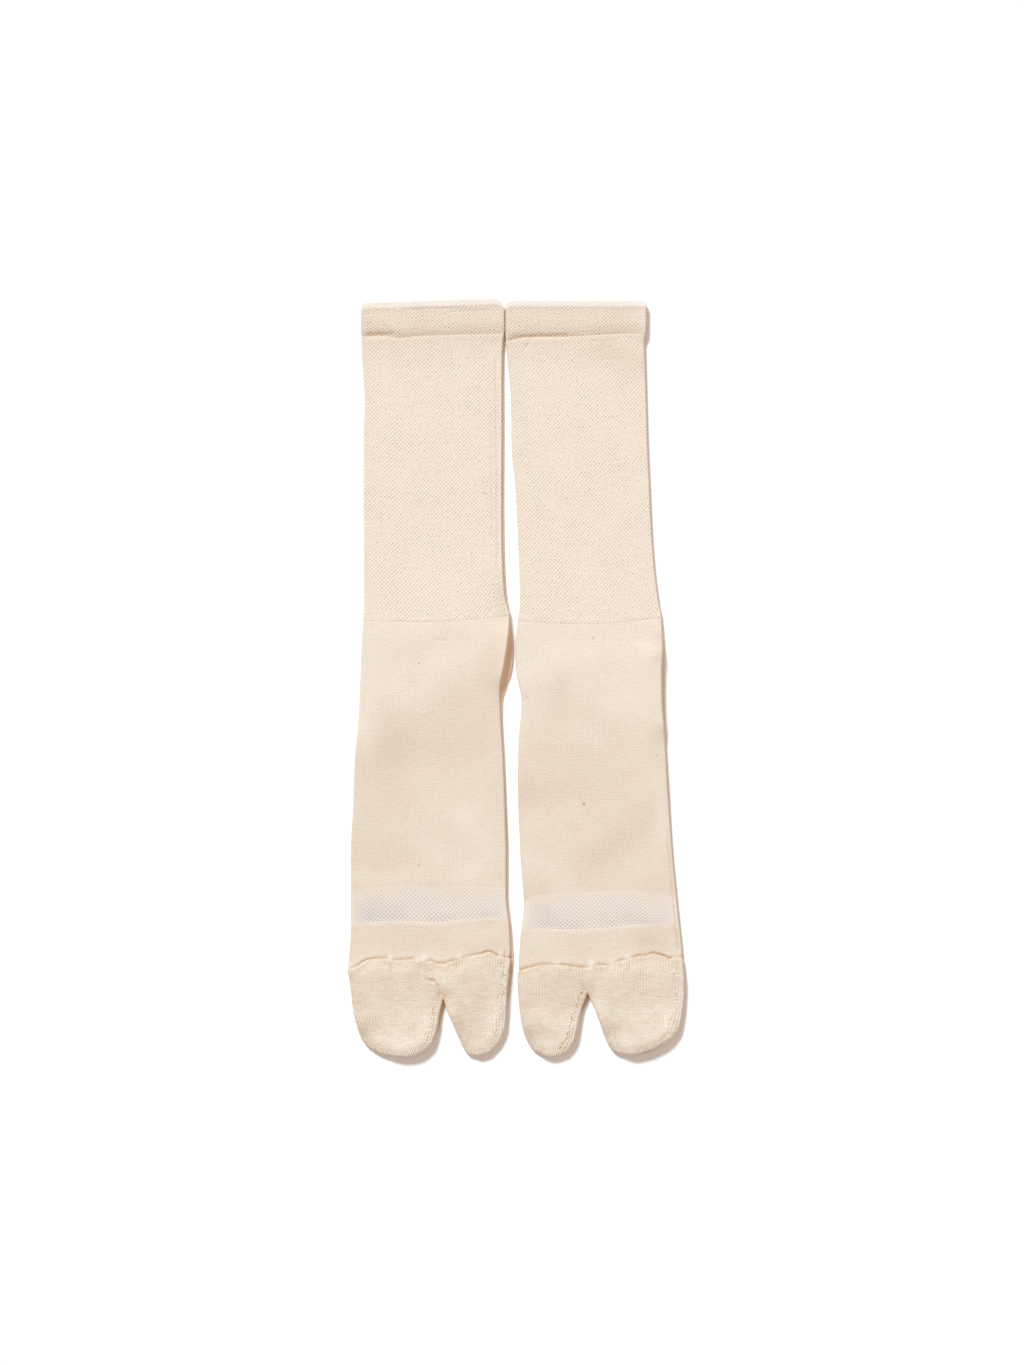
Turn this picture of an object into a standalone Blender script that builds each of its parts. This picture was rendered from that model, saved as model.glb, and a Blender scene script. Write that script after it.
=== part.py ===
"""A pair of tabi socks, laid flat side by side with the instep up and the toes towards -Y.

Each sock is one knitted tube pressed flat, in five knit zones: the turned welt at the cuff, the
openwork leg, the plain foot, the mesh band let into the instep, and the terry toe end, which a
cleft parts into a big-toe pocket and a four-toe pocket. A zone is a closed wall of cloth, open at
its ends, with its lower panel flat on the floor. The names right and left are the wearer's feet.
Tables are in millimetres and are turned into metres where a point is placed.
"""

import math
from collections import namedtuple

import bpy
import numpy as np

MM = 0.001
SEAM_GAP = 0.3  # clear space between two knit zones

# How a zone lies: its pressed height over both panels and the thickness of one wall.
Cloth = namedtuple("Cloth", "height wall")
WELT = Cloth(height=4.4, wall=1.8)
LEG = Cloth(height=3.4, wall=1.3)
FOOT = Cloth(height=3.4, wall=1.3)
TOE = Cloth(height=6.0, wall=2.3)

TOE_MOUTH_HEIGHT = 4.5  # the terry starts low at the toe seam
TOE_RISE_LENGTH = 7.0  # and reaches its full height this far below it
TOE_CROWN = 0.5  # extra fullness in the middle of a pocket
TOE_CROWN_REACH = 14.0
ROLL_HEIGHT = 0.5  # the turned edge of the welt stands a little proud
ROLL_LENGTH = 2.7

FOLD_RADIUS = 1.7  # of the side folds where the columns of points are set out
EDGE_ANGLES = (0, 30, 60, 90)  # stations round a side fold, in degrees
BAND_EDGE_ANGLES = (42, 66, 90)  # the mesh band stops short of the side folds
FLAT_COLUMNS = 6
POCKET_COLUMNS = 5
WELT_ROWS = (0.0, 0.12, 0.3, 0.65, 1.0)
LEG_ROWS = 14
FOOT_ROWS = 15
BAND_ROWS = 3
BALL_ROWS = 4
MOUTH_ROWS = 3  # from the toe seam to the cleft
CURVE_STEPS = 12  # straight steps between two points of a toe outline
POCKET_ROWS = (0.2, 0.4, 0.6, 0.78, 0.9, 0.955, 0.988, 1.0)  # from the cleft to the tip

# The outline of the flat tube: its two side folds at each height.
Section = namedtuple("Section", "y left right")
# The lines that cross the sock, at each part of its width from the left fold.
Seams = namedtuple("Seams", "part cuff welt ankle band_top band_bottom toe")
# The toe end below its seam. From the cleft down, each section has four edges.
ToeSection = namedtuple("ToeSection", "y left cleft_left cleft_right right")
Point = namedtuple("Point", "x y")
# A soft ridge or, with a negative rise, a hollow along a line.
Fold = namedtuple("Fold", "x1 y1 x2 y2 width rise")
Sock = namedtuple("Sock", "name sections seams cleft toes tips folds")

RIGHT_SOCK = Sock(
    name="right",
    sections=(
        Section(y=227.5, left=-91.2, right=-9.2),
        Section(y=224.0, left=-92.2, right=-7.7),
        Section(y=204.0, left=-92.2, right=-7.7),
        Section(y=190.0, left=-92.0, right=-8.5),
        Section(y=166.0, left=-90.4, right=-9.1),
        Section(y=142.0, left=-90.8, right=-9.4),
        Section(y=106.0, left=-90.8, right=-9.4),
        Section(y=70.0, left=-90.4, right=-9.0),
        Section(y=48.0, left=-90.6, right=-7.4),
        Section(y=37.0, left=-91.3, right=-3.6),
        Section(y=22.0, left=-92.3, right=-4.9),
        Section(y=8.0, left=-92.9, right=-7.2),
        Section(y=-8.0, left=-93.4, right=-10.0),
        Section(y=-26.0, left=-94.4, right=-8.8),
        Section(y=-50.0, left=-95.8, right=-7.7),
        Section(y=-80.0, left=-97.0, right=-6.7),
        Section(y=-104.0, left=-98.4, right=-6.1),
        Section(y=-130.0, left=-98.6, right=-5.9),
        Section(y=-152.0, left=-98.9, right=-4.2),
        Section(y=-175.0, left=-100.7, right=-4.0),
    ),
    seams=(
        Seams(0.00, 223.6, 204.7, 34.5, -130.2, -148.2, -174.3),
        Seams(0.05, 225.2, 204.7, 34.2, -129.2, -147.8, -172.6),
        Seams(0.15, 225.4, 205.2, 33.9, -126.9, -147.1, -169.0),
        Seams(0.25, 225.7, 203.8, 33.6, -126.3, -146.4, -168.1),
        Seams(0.40, 226.1, 205.0, 33.3, -126.3, -146.7, -168.6),
        Seams(0.55, 226.5, 205.4, 33.5, -126.3, -147.0, -171.0),
        Seams(0.70, 226.9, 205.9, 34.4, -126.3, -145.5, -168.3),
        Seams(0.85, 227.3, 206.3, 35.6, -126.5, -144.3, -164.3),
        Seams(0.93, 227.5, 206.4, 36.3, -127.0, -144.1, -166.6),
        Seams(1.00, 224.6, 206.5, 37.0, -127.5, -145.5, -167.7),
    ),
    cleft=Point(x=-43.4, y=-193.1),
    toes=(
        ToeSection(y=-186.0, left=-99.0, cleft_left=None, cleft_right=None, right=-5.1),
        ToeSection(y=-194.0, left=-98.1, cleft_left=None, cleft_right=None, right=-5.4),
        ToeSection(y=-202.0, left=-97.0, cleft_left=-45.6, cleft_right=-40.2, right=-5.9),
        ToeSection(y=-210.0, left=-94.9, cleft_left=-46.9, cleft_right=-36.8, right=-6.8),
        ToeSection(y=-217.0, left=-92.0, cleft_left=-48.9, cleft_right=-33.6, right=-9.2),
        ToeSection(y=-222.0, left=-87.0, cleft_left=-52.3, cleft_right=-31.2, right=-12.9),
    ),
    tips=(
        (Point(x=-80.0, y=-226.0), Point(x=-69.0, y=-227.5), Point(x=-58.5, y=-226.0)),
        (Point(x=-27.6, y=-226.1), Point(x=-21.5, y=-226.5), Point(x=-16.4, y=-225.0)),
    ),
    folds=(
        Fold(x1=-88, y1=24, x2=-12, y2=26, width=9, rise=0.25),
        Fold(x1=-92, y1=-8, x2=-20, y2=-44, width=16, rise=-0.2),
        Fold(x1=-60, y1=-62, x2=-10, y2=-86, width=14, rise=0.2),
        Fold(x1=-96, y1=-104, x2=-30, y2=-112, width=10, rise=-0.15),
        Fold(x1=-58, y1=-181, x2=-46, y2=-187, width=4, rise=-0.4),
    ),
)

LEFT_SOCK = Sock(
    name="left",
    sections=(
        Section(y=225.6, left=-4.8, right=76.8),
        Section(y=222.5, left=-5.9, right=77.6),
        Section(y=202.0, left=-6.0, right=76.8),
        Section(y=190.0, left=-4.6, right=76.4),
        Section(y=160.0, left=-2.3, right=77.6),
        Section(y=140.0, left=-2.2, right=78.2),
        Section(y=118.0, left=-0.4, right=79.4),
        Section(y=97.0, left=0.8, right=80.3),
        Section(y=70.0, left=2.0, right=82.4),
        Section(y=46.0, left=2.6, right=86.0),
        Section(y=35.0, left=1.5, right=86.9),
        Section(y=18.0, left=-0.2, right=87.2),
        Section(y=4.0, left=0.5, right=87.2),
        Section(y=-14.0, left=3.5, right=87.6),
        Section(y=-38.0, left=1.8, right=89.6),
        Section(y=-62.0, left=1.4, right=91.0),
        Section(y=-104.0, left=2.8, right=93.8),
        Section(y=-138.0, left=5.0, right=97.1),
        Section(y=-153.0, left=3.2, right=98.7),
        Section(y=-176.0, left=1.6, right=100.8),
    ),
    seams=(
        Seams(0.00, 223.8, 201.9, 33.9, -135.0, -150.5, -175.5),
        Seams(0.05, 225.3, 202.4, 33.6, -132.4, -150.4, -174.1),
        Seams(0.15, 225.6, 204.4, 33.0, -131.3, -151.0, -172.1),
        Seams(0.25, 225.6, 204.5, 32.6, -130.9, -151.4, -172.1),
        Seams(0.40, 225.6, 204.5, 32.2, -129.8, -151.1, -173.2),
        Seams(0.55, 225.6, 205.1, 32.1, -128.9, -150.4, -172.4),
        Seams(0.70, 225.6, 205.8, 33.0, -129.3, -148.6, -167.6),
        Seams(0.85, 225.6, 206.5, 34.4, -130.8, -148.4, -165.6),
        Seams(0.93, 225.5, 206.5, 35.2, -131.3, -148.5, -167.3),
        Seams(1.00, 223.9, 206.1, 35.7, -133.5, -149.1, -167.7),
    ),
    cleft=Point(x=43.2, y=-189.3),
    toes=(
        ToeSection(y=-182.0, left=1.3, cleft_left=None, cleft_right=None, right=100.7),
        ToeSection(y=-190.0, left=1.6, cleft_left=None, cleft_right=None, right=100.5),
        ToeSection(y=-198.0, left=2.4, cleft_left=39.8, cleft_right=47.2, right=100.0),
        ToeSection(y=-206.0, left=3.4, cleft_left=38.0, cleft_right=50.1, right=98.4),
        ToeSection(y=-213.0, left=5.1, cleft_left=36.8, cleft_right=52.5, right=95.2),
        ToeSection(y=-219.0, left=7.6, cleft_left=34.8, cleft_right=55.1, right=88.9),
    ),
    tips=(
        (Point(x=12.6, y=-224.6), Point(x=20.6, y=-227.4), Point(x=29.6, y=-225.0)),
        (Point(x=60.0, y=-224.6), Point(x=70.0, y=-226.4), Point(x=79.8, y=-224.2)),
    ),
    folds=(
        Fold(x1=6, y1=22, x2=82, y2=24, width=9, rise=0.25),
        Fold(x1=4, y1=-16, x2=74, y2=-40, width=15, rise=-0.2),
        Fold(x1=30, y1=-58, x2=88, y2=-84, width=14, rise=0.2),
        Fold(x1=8, y1=-100, x2=70, y2=-112, width=10, rise=-0.15),
        Fold(x1=30, y1=-181, x2=58, y2=-182, width=6, rise=-0.2),
    ),
)


def smooth(at, places, values):
    """Values at any places, on a cubic curve through the given ones that never overshoots them."""
    at = np.clip(at, places[0], places[-1])
    steps = np.diff(places)
    rates = np.diff(values) / steps
    same_way = rates[:-1] * rates[1:] > 0
    total = np.where(same_way, rates[:-1] + rates[1:], 1.0)
    inner = np.where(same_way, 2 * rates[:-1] * rates[1:] / total, 0.0)
    slopes = np.concatenate([[rates[0]], inner, [rates[-1]]])
    span = np.clip(np.searchsorted(places, at, side="right") - 1, 0, len(steps) - 1)
    t = (at - places[span]) / steps[span]
    start = values[span] * (1 + 2 * t) + slopes[span] * steps[span] * t
    end = values[span + 1] * (3 - 2 * t) - slopes[span + 1] * steps[span] * (1 - t)
    return start * (1 - t) ** 2 + end * t**2


def even_rows(count):
    return tuple(np.linspace(0, 1, count + 1))


def column(table, name):
    return np.array([getattr(row, name) for row in table], float)


def fold_edge(sock, name, y):
    """Where the left or the right side fold lies at the heights y."""
    return smooth(y, column(sock.sections, "y")[::-1], column(sock.sections, name)[::-1])


def seam(sock, name, part, shift=0.0):
    """The heights of a line that crosses the sock, at these parts of its width."""
    return smooth(part, column(sock.seams, "part"), column(sock.seams, name)) + shift


def relief(sock, x, y):
    """How far the folds lift or lower the upper panel."""
    lift = np.zeros_like(x)
    for fold in sock.folds:
        along = np.array([fold.x2 - fold.x1, fold.y2 - fold.y1])
        part = ((x - fold.x1) * along[0] + (y - fold.y1) * along[1]) / (along @ along)
        part = np.clip(part, 0, 1)
        away = np.hypot(x - fold.x1 - part * along[0], y - fold.y1 - part * along[1])
        lift += fold.rise * np.exp(-((away / fold.width) ** 2))
    return lift


def across_places(width, radius, angles, flats):
    """Parts of a width at which its points lie: round each side fold, then evenly between."""
    edge = radius * (1 - np.cos(np.radians(angles)))
    middle = np.linspace(edge[-1], width - edge[-1], flats + 1)
    return np.concatenate([edge[:-1], middle, (width - edge[:-1])[::-1]]) / width


class Grid:
    """Rows of plan points, with each one's distance to the nearest edge and the way in from it."""

    def __init__(self, rows):
        self.x, self.y, self.distance, self.inward_x, self.inward_y = (
            np.array([row[k] for row in rows]) for k in range(5)
        )


def tube_columns(sock, y, angles=EDGE_ANGLES):
    """Parts of the tube's width for the columns of points, near the height y."""
    width = float(fold_edge(sock, "right", y) - fold_edge(sock, "left", y))
    return across_places(width, FOLD_RADIUS, angles, FLAT_COLUMNS)


def strip_grid(sock, upper, lower, parts, angles=EDGE_ANGLES):
    """A stretch of the flat tube between two lines that cross it."""
    rows = []
    for part in parts:
        across = tube_columns(sock, upper(0.5) * (1 - part) + lower(0.5) * part, angles)
        y = upper(across) * (1 - part) + lower(across) * part
        left = fold_edge(sock, "left", y)
        right = fold_edge(sock, "right", y)
        x = left + across * (right - left)
        distance = np.minimum(across, 1 - across) * (right - left)
        rows.append((x, y, distance, np.sign(0.5 - across), np.zeros_like(x)))
    return Grid(rows)


class Piece:
    """A zone's wall: outer points, the inner points behind them, and the faces between."""

    def __init__(self, sock, cloth):
        self.sock, self.cloth = sock, cloth
        self.numbers, self.outer, self.inner, self.faces = {}, [], [], []

    def height(self, x, y):
        return self.cloth.height + relief(self.sock, x, y)

    def corner(self, grid, row, col, upward):
        """The number of one corner. The two panels share those on an edge."""
        x, y = grid.x[row, col], grid.y[row, col]
        distance = grid.distance[row, col]
        side = 0 if distance < 1e-6 else upward
        key = (round(float(x), 5), round(float(y), 5), side)
        if key in self.numbers:
            return self.numbers[key]
        radius = self.cloth.height / 2
        height = float(self.height(x, y))
        wall = self.cloth.wall * min(height / self.cloth.height, 1)
        level = max(1 - distance / radius, 0)
        rise = math.sqrt(1 - level**2) * side
        reach = height - radius if side > 0 else radius
        shift = radius - (radius - wall) * level - min(distance, radius)
        inner_x = x + grid.inward_x[row, col] * shift
        inner_y = y + grid.inward_y[row, col] * shift
        self.outer.append((x, y, radius + reach * rise))
        self.inner.append((inner_x, inner_y, radius + (reach - wall) * rise))
        self.numbers[key] = len(self.outer) - 1
        return self.numbers[key]

    def add(self, grid, upward, columns=None):
        """Faces over the grid, or over some of its columns, in the upper panel (1) or the lower (-1)."""
        last_row, last_col = (n - 1 for n in grid.x.shape)
        for row in range(last_row):
            for col in columns or range(last_col):
                turn = ((row, col), (row + 1, col), (row + 1, col + 1), (row, col + 1))
                face = [self.corner(grid, *at, upward) for at in turn[::upward]]
                face = [n for k, n in enumerate(face) if n != face[k - 1]]
                if len(face) > 2:
                    self.faces.append(face)

    def build(self, name, material):
        """The closed solid: outer faces, inner faces turned round, and rims along open edges."""
        behind = len(self.outer)
        edges = {(a, b) for f in self.faces for a, b in zip(f, f[1:] + f[:1])}
        rims = [(b, a, a + behind, b + behind) for a, b in sorted(edges) if (b, a) not in edges]
        inner = [[n + behind for n in reversed(face)] for face in self.faces]
        mesh = bpy.data.meshes.new(name)
        points = np.array(self.outer + self.inner) * MM
        mesh.from_pydata(points.tolist(), [], self.faces + inner + rims)
        mesh.shade_smooth()
        mesh.set_sharp_from_angle(angle=math.radians(50))
        mesh.materials.append(material)
        solid = bpy.data.objects.new(name, mesh)
        bpy.context.collection.objects.link(solid)


class WeltPiece(Piece):
    def height(self, x, y):
        left = fold_edge(self.sock, "left", y)
        right = fold_edge(self.sock, "right", y)
        below = seam(self.sock, "cuff", (x - left) / (right - left)) - y
        return self.cloth.height + ROLL_HEIGHT * (below < ROLL_LENGTH)


class ToePiece(Piece):
    """The toe end rises from its mouth and crowns over each pocket."""

    def __init__(self, sock, outline):
        super().__init__(sock, TOE)
        self.outline = outline

    def height(self, x, y):
        left = fold_edge(self.sock, "left", y)
        right = fold_edge(self.sock, "right", y)
        below = seam(self.sock, "toe", (x - left) / (right - left)) - y
        risen = math.sin(math.pi / 2 * float(np.clip(below / TOE_RISE_LENGTH, 0, 1)))
        full = self.cloth.height + relief(self.sock, x, y)
        inset, _ = nearest_edge(self.outline, np.array([x, y]))
        crown = TOE_CROWN * min(inset / TOE_CROWN_REACH, 1)
        return TOE_MOUTH_HEIGHT + (full + crown - TOE_MOUTH_HEIGHT) * risen


def through(points):
    """A smooth curve through plan points, as a dense line."""
    points = np.array(points, float)
    ends = np.vstack([2 * points[0] - points[1], points, 2 * points[-1] - points[-2]])
    line = [points[0]]
    for a, b, c, d in zip(ends, ends[1:], ends[2:], ends[3:]):
        for t in np.linspace(0, 1, CURVE_STEPS + 1)[1:]:
            bend = (2 * a - 5 * b + 4 * c - d) * t**2 + (3 * b - a - 3 * c + d) * t**3
            line.append(b + ((c - a) * t + bend) / 2)
    return np.array(line)


def along(line, parts):
    """Points at these parts of a line's length."""
    length = np.concatenate([[0], np.cumsum(np.linalg.norm(np.diff(line, axis=0), axis=1))])
    at = np.asarray(parts) * length[-1]
    return np.stack([np.interp(at, length, line[:, 0]), np.interp(at, length, line[:, 1])], -1)


def nearest_edge(outline, point):
    """The distance from a point to the outline, and the way in from there."""
    start, step = outline[:-1], np.diff(outline, axis=0)
    part = ((point - start) * step).sum(1) / (step**2).sum(1)
    foot = start + np.clip(part, 0, 1)[:, None] * step
    away = np.linalg.norm(point - foot, axis=1)
    nearest = int(np.argmin(away))
    return float(away[nearest]), point - foot[nearest]


def mouth_line(sock, part):
    """Plan points on the mouth of the toe end, which runs along the foot's last row of points."""
    columns = tube_columns(sock, seam(sock, "toe", 0.5, SEAM_GAP / 2))
    y = seam(sock, "toe", columns, SEAM_GAP / 2)
    left = fold_edge(sock, "left", y)
    right = fold_edge(sock, "right", y)
    x = left + columns * (right - left)
    return np.stack([np.interp(part, columns, x), np.interp(part, columns, y - SEAM_GAP)], -1)


def mouth_columns(sock, start, end, count):
    """Parts of the mouth between two of its places: the foot's columns, and more in the widest gaps."""
    columns = tube_columns(sock, seam(sock, "toe", 0.5, SEAM_GAP / 2))
    found = [start, *columns[(columns > start) & (columns < end)], end]
    while len(found) < count:
        widest = int(np.argmax(np.diff(found)))
        found.insert(widest + 1, (found[widest] + found[widest + 1]) / 2)
    return np.array(found)


def pocket_lines(sock, side):
    """A pocket's outer side, its tip and its cleft side, as dense lines from the mouth down."""
    outer_name, cleft_name = (("left", "cleft_left"), ("right", "cleft_right"))[side]
    outer = [mouth_line(sock, float(side))]
    outer += [(getattr(row, outer_name), row.y) for row in sock.toes]
    parted = [row for row in sock.toes if row.cleft_left is not None]
    cleft = [sock.cleft, *((getattr(row, cleft_name), row.y) for row in parted)]
    tip = sock.tips[side][:: 1 - 2 * side]
    line = through([*outer, *tip, *cleft[::-1]])
    tip_start = len(outer) * CURVE_STEPS
    tip_end = tip_start + (len(tip) - 1) * CURVE_STEPS
    return line[: tip_start + 1], line[tip_start : tip_end + 1], line[tip_end:][::-1]


def edge_inward(outline, point):
    """The way in from a point on the outline, which runs round the toe end with the inside left."""
    nearest = int(np.argmin(np.linalg.norm(outline - point, axis=1)))
    before = outline[max(nearest - 1, 0)]
    after = outline[min(nearest + 1, len(outline) - 1)]
    step = (after - before) / np.linalg.norm(after - before)
    return np.array([-step[1], step[0]])


def edge_facts(outline, line):
    """For each point of a line: its distance to the outline and the way in from there."""
    distance, inward = [], []
    for point in line:
        away, way = nearest_edge(outline, point)
        on_edge = away < 1e-4
        distance.append(0.0 if on_edge else away)
        inward.append(edge_inward(outline, point) if on_edge else way / away)
    return np.array(distance), np.array(inward)


def bow(line, share):
    """How far a curved line stands off the straight one between its ends."""
    return line - line[0] - share * (line[-1] - line[0])


def pocket_grid(sock, side, divider, outline):
    """Plan points of one pocket, from its mouth at the toe seam to its tip."""
    outer, tip, cleft = pocket_lines(sock, side)
    mouth_end = mouth_line(sock, divider)
    mouth_rows = np.linspace(0, 1, MOUTH_ROWS + 1)
    inner_side = np.vstack(
        [
            mouth_end + mouth_rows[:, None] * (np.array(sock.cleft) - mouth_end),
            along(cleft, POCKET_ROWS),
        ]
    )
    mouth_share = (mouth_end[1] - sock.cleft.y) / (mouth_end[1] - tip[0][1])
    pocket_rows = mouth_share + np.array(POCKET_ROWS) * (1 - mouth_share)
    rows_down = np.concatenate([mouth_rows * mouth_share, pocket_rows])
    sides = [along(outer, rows_down), inner_side][:: 1 - 2 * side]
    tip = tip[:: 1 - 2 * side]
    start, end = ((0.0, divider), (divider, 1.0))[side]
    count = 2 * len(EDGE_ANGLES) - 1 + POCKET_COLUMNS
    mouth = (mouth_columns(sock, start, end, count) - start) / (end - start)
    rows = []
    for down, left, right in zip(rows_down, *sides):
        width = float(np.linalg.norm(right - left))
        graded = across_places(width, TOE.height / 2, EDGE_ANGLES, POCKET_COLUMNS)
        across = mouth + (graded - mouth) * min(down / mouth_share, 1)
        share = across[:, None]
        line = left + share * (right - left)
        line += (1 - down) ** 2 * bow(mouth_line(sock, start + across * (end - start)), share)
        line += down**3 * bow(along(tip, across), share)
        distance, inward = edge_facts(outline, line)
        if down == 0:
            inward[:, 1] = 0  # the rim stays level with the seam
        rows.append((line[:, 0], line[:, 1], distance, inward[:, 0], inward[:, 1]))
    return Grid(rows)


def knit_material(name, colour, roughness):
    material = bpy.data.materials.new(name)
    material.use_nodes = True
    shader = material.node_tree.nodes["Principled BSDF"]
    shader.inputs["Base Color"].default_value = (*colour, 1)
    shader.inputs["Roughness"].default_value = roughness
    shader.inputs["Metallic"].default_value = 0
    return material


def line_across(sock, name, shift):
    """One of the sock's crossing lines, moved along the sock, as a function of the width's part."""
    return lambda part: seam(sock, name, part, shift)


def build_tube(sock, name, piece, upper, lower, rows, material):
    """A plain length of the flat tube between two of its crossing lines."""
    grid = strip_grid(sock, upper, lower, rows)
    piece.add(grid, 1)
    piece.add(grid, -1)
    piece.build(f"{sock.name}_{name}", material)


def build_welt(sock, cotton):
    upper = line_across(sock, "cuff", 0)
    lower = line_across(sock, "welt", SEAM_GAP / 2)
    build_tube(sock, "welt", WeltPiece(sock, WELT), upper, lower, WELT_ROWS, cotton)


def build_leg(sock, cotton):
    upper = line_across(sock, "welt", -SEAM_GAP / 2)
    lower = line_across(sock, "ankle", SEAM_GAP / 2)
    build_tube(sock, "leg", Piece(sock, LEG), upper, lower, even_rows(LEG_ROWS), cotton)


def build_foot(sock, cotton):
    """The foot tube, with a window in its instep that reaches from fold to fold."""
    lines = [
        line_across(sock, "ankle", -SEAM_GAP / 2),
        line_across(sock, "band_top", SEAM_GAP / 2),
        line_across(sock, "band_bottom", -SEAM_GAP / 2),
        line_across(sock, "toe", SEAM_GAP / 2),
    ]
    foot = Piece(sock, FOOT)
    for zone, count in enumerate((FOOT_ROWS, BAND_ROWS, BALL_ROWS)):
        grid = strip_grid(sock, lines[zone], lines[zone + 1], even_rows(count))
        last = grid.x.shape[1] - 2
        at_window = zone == 1
        foot.add(grid, -1)
        foot.add(grid, 1, columns=(0, last) if at_window else None)
    foot.build(f"{sock.name}_foot", cotton)


def build_band(sock, white):
    """The mesh band that fills the window in the instep."""
    upper = line_across(sock, "band_top", -SEAM_GAP / 2)
    lower = line_across(sock, "band_bottom", SEAM_GAP / 2)
    band = Piece(sock, FOOT)
    band.add(strip_grid(sock, upper, lower, even_rows(BAND_ROWS), BAND_EDGE_ANGLES), 1)
    band.build(f"{sock.name}_instep_mesh_band", white)


def toe_outline(sock):
    """The whole outline of the toe end, from the left end of the toe seam round to the right."""
    left_outer, left_tip, left_cleft = pocket_lines(sock, 0)
    right_outer, right_tip, right_cleft = pocket_lines(sock, 1)
    lines = [left_outer, left_tip, left_cleft[::-1], right_cleft, right_tip[::-1], right_outer[::-1]]
    return np.vstack([lines[0], *(line[1:] for line in lines[1:])])


def build_toes(sock, terry):
    """The toe end: both pockets in one wall, parted from the cleft down."""
    outline = toe_outline(sock)
    toes = ToePiece(sock, outline)
    left, right = mouth_line(sock, 0.0), mouth_line(sock, 1.0)
    divider = float((sock.cleft.x - left[0]) / (right[0] - left[0]))
    for side in (0, 1):
        grid = pocket_grid(sock, side, divider, outline)
        toes.add(grid, 1)
        toes.add(grid, -1)
    toes.build(f"{sock.name}_toes", terry)


def main():
    for old in list(bpy.data.objects):
        bpy.data.objects.remove(old, do_unlink=True)
    cotton = knit_material("cream_cotton_knit", (0.80, 0.70, 0.58), 0.9)
    terry = knit_material("cream_cotton_terry", (0.76, 0.66, 0.54), 0.95)
    white = knit_material("white_mesh_yarn", (0.82, 0.79, 0.75), 0.85)
    for sock in (RIGHT_SOCK, LEFT_SOCK):
        build_welt(sock, cotton)
        build_leg(sock, cotton)
        build_foot(sock, cotton)
        build_band(sock, white)
        build_toes(sock, terry)


main()
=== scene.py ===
"""The looks of the pair of tabi socks: five knit shells for each sock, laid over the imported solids.

Each zone of a sock is one closed thin shell of cloth. Its outer face is a net of points set out on
the wales and courses of that zone's knit, and every stitch, hole, crease and seam moves those
points. Tables and working sizes are in millimetres. The sock points its toes towards -Y, with the
instep up, and right and left are the wearer's feet.
"""

import math
from collections import namedtuple

import bpy
import numpy as np
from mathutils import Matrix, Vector


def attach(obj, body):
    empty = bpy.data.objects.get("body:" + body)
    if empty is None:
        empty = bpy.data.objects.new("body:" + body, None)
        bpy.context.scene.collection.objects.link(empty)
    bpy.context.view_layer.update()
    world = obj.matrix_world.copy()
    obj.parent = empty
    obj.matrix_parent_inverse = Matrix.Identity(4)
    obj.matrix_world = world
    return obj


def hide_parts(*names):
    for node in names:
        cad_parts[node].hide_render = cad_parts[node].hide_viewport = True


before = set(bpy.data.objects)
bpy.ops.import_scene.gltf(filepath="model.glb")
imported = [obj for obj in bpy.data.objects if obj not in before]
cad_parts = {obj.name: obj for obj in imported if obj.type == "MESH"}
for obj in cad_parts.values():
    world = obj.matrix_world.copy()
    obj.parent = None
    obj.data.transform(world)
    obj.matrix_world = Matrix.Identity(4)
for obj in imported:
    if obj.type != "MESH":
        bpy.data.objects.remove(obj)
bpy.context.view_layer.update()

MM = 0.001
SEAM_GAP = 0.02  # between two zones, where the seam draws them together
DEEPEST = 0.85  # that a stitch or crease may go into the wall
WELD_PARTS = 2000  # of a millimetre: points that fall in the same part are one
CURVE_STEPS = 12  # of a smooth line between two of its points
RANDOM_CELLS = 64  # each way, before a mottled pattern repeats

# How a zone lies and how it is knitted: the pressed height over both panels, the wall, the wales
# round the sock, the points across a wale, the length of a course and the points along it.
Zone = namedtuple("Zone", "height wall wales across course along")
WELT = Zone(height=4.4, wall=1.5, wales=72, across=4, course=2.15, along=4)
LEG = Zone(height=3.4, wall=1.2, wales=72, across=4, course=2.5, along=4)
FOOT = Zone(height=3.4, wall=1.2, wales=130, across=2, course=1.6, along=2)
BAND = Zone(height=3.4, wall=0.9, wales=None, across=6, course=2.45, along=6)
TOE = Zone(height=5.7, wall=2.0, wales=None, across=4, course=1.3, along=2)
END_ROWS = (0.12, 0.35, 0.7)  # extra rows of points where a zone's edge turns in
FULLNESS = 3.4  # of the rounded edges: 2 is a circle, and more is fuller

LIFT_RUN = 1.3  # of cloth over which the lower panel comes away from a fold that stands up

ROLL_HEIGHT = 0.2  # of the rolled cuff over the welt
ROLL_LENGTH = 3.5
ROLL_FALL = 1.4  # the length over which the roll ends
CUFF_TURN = 0.9  # the radius of the welt's top edge
NUB_HEIGHT = 0.09  # of the tuck knit
TUCK_DEPTH = 0.17
WALE_HEIGHT = 0.03  # of the plain knit

BAND_WALE = 2.6
BAND_SHIFT = 2  # points that the lattice of holes begins above the band's first row
BAND_BORDER = (0.9, 0.5)  # of whole cloth above and below the holes
STRAND_HEIGHT = 0.06
RIM_DEPTH = 0.15  # at the holes
HOLE_LEAST = 0.12  # the size of the most closed holes, in parts of their cell
HOLE_MORE = (0.05, 0.31)  # what is added where the band is drawn open, and along its lower edge
OPEN_SHARE = 0.2  # of the band, all its holes together
UNDER_MESH = 0.7  # how much the sole panel swells under the open mesh

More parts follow.
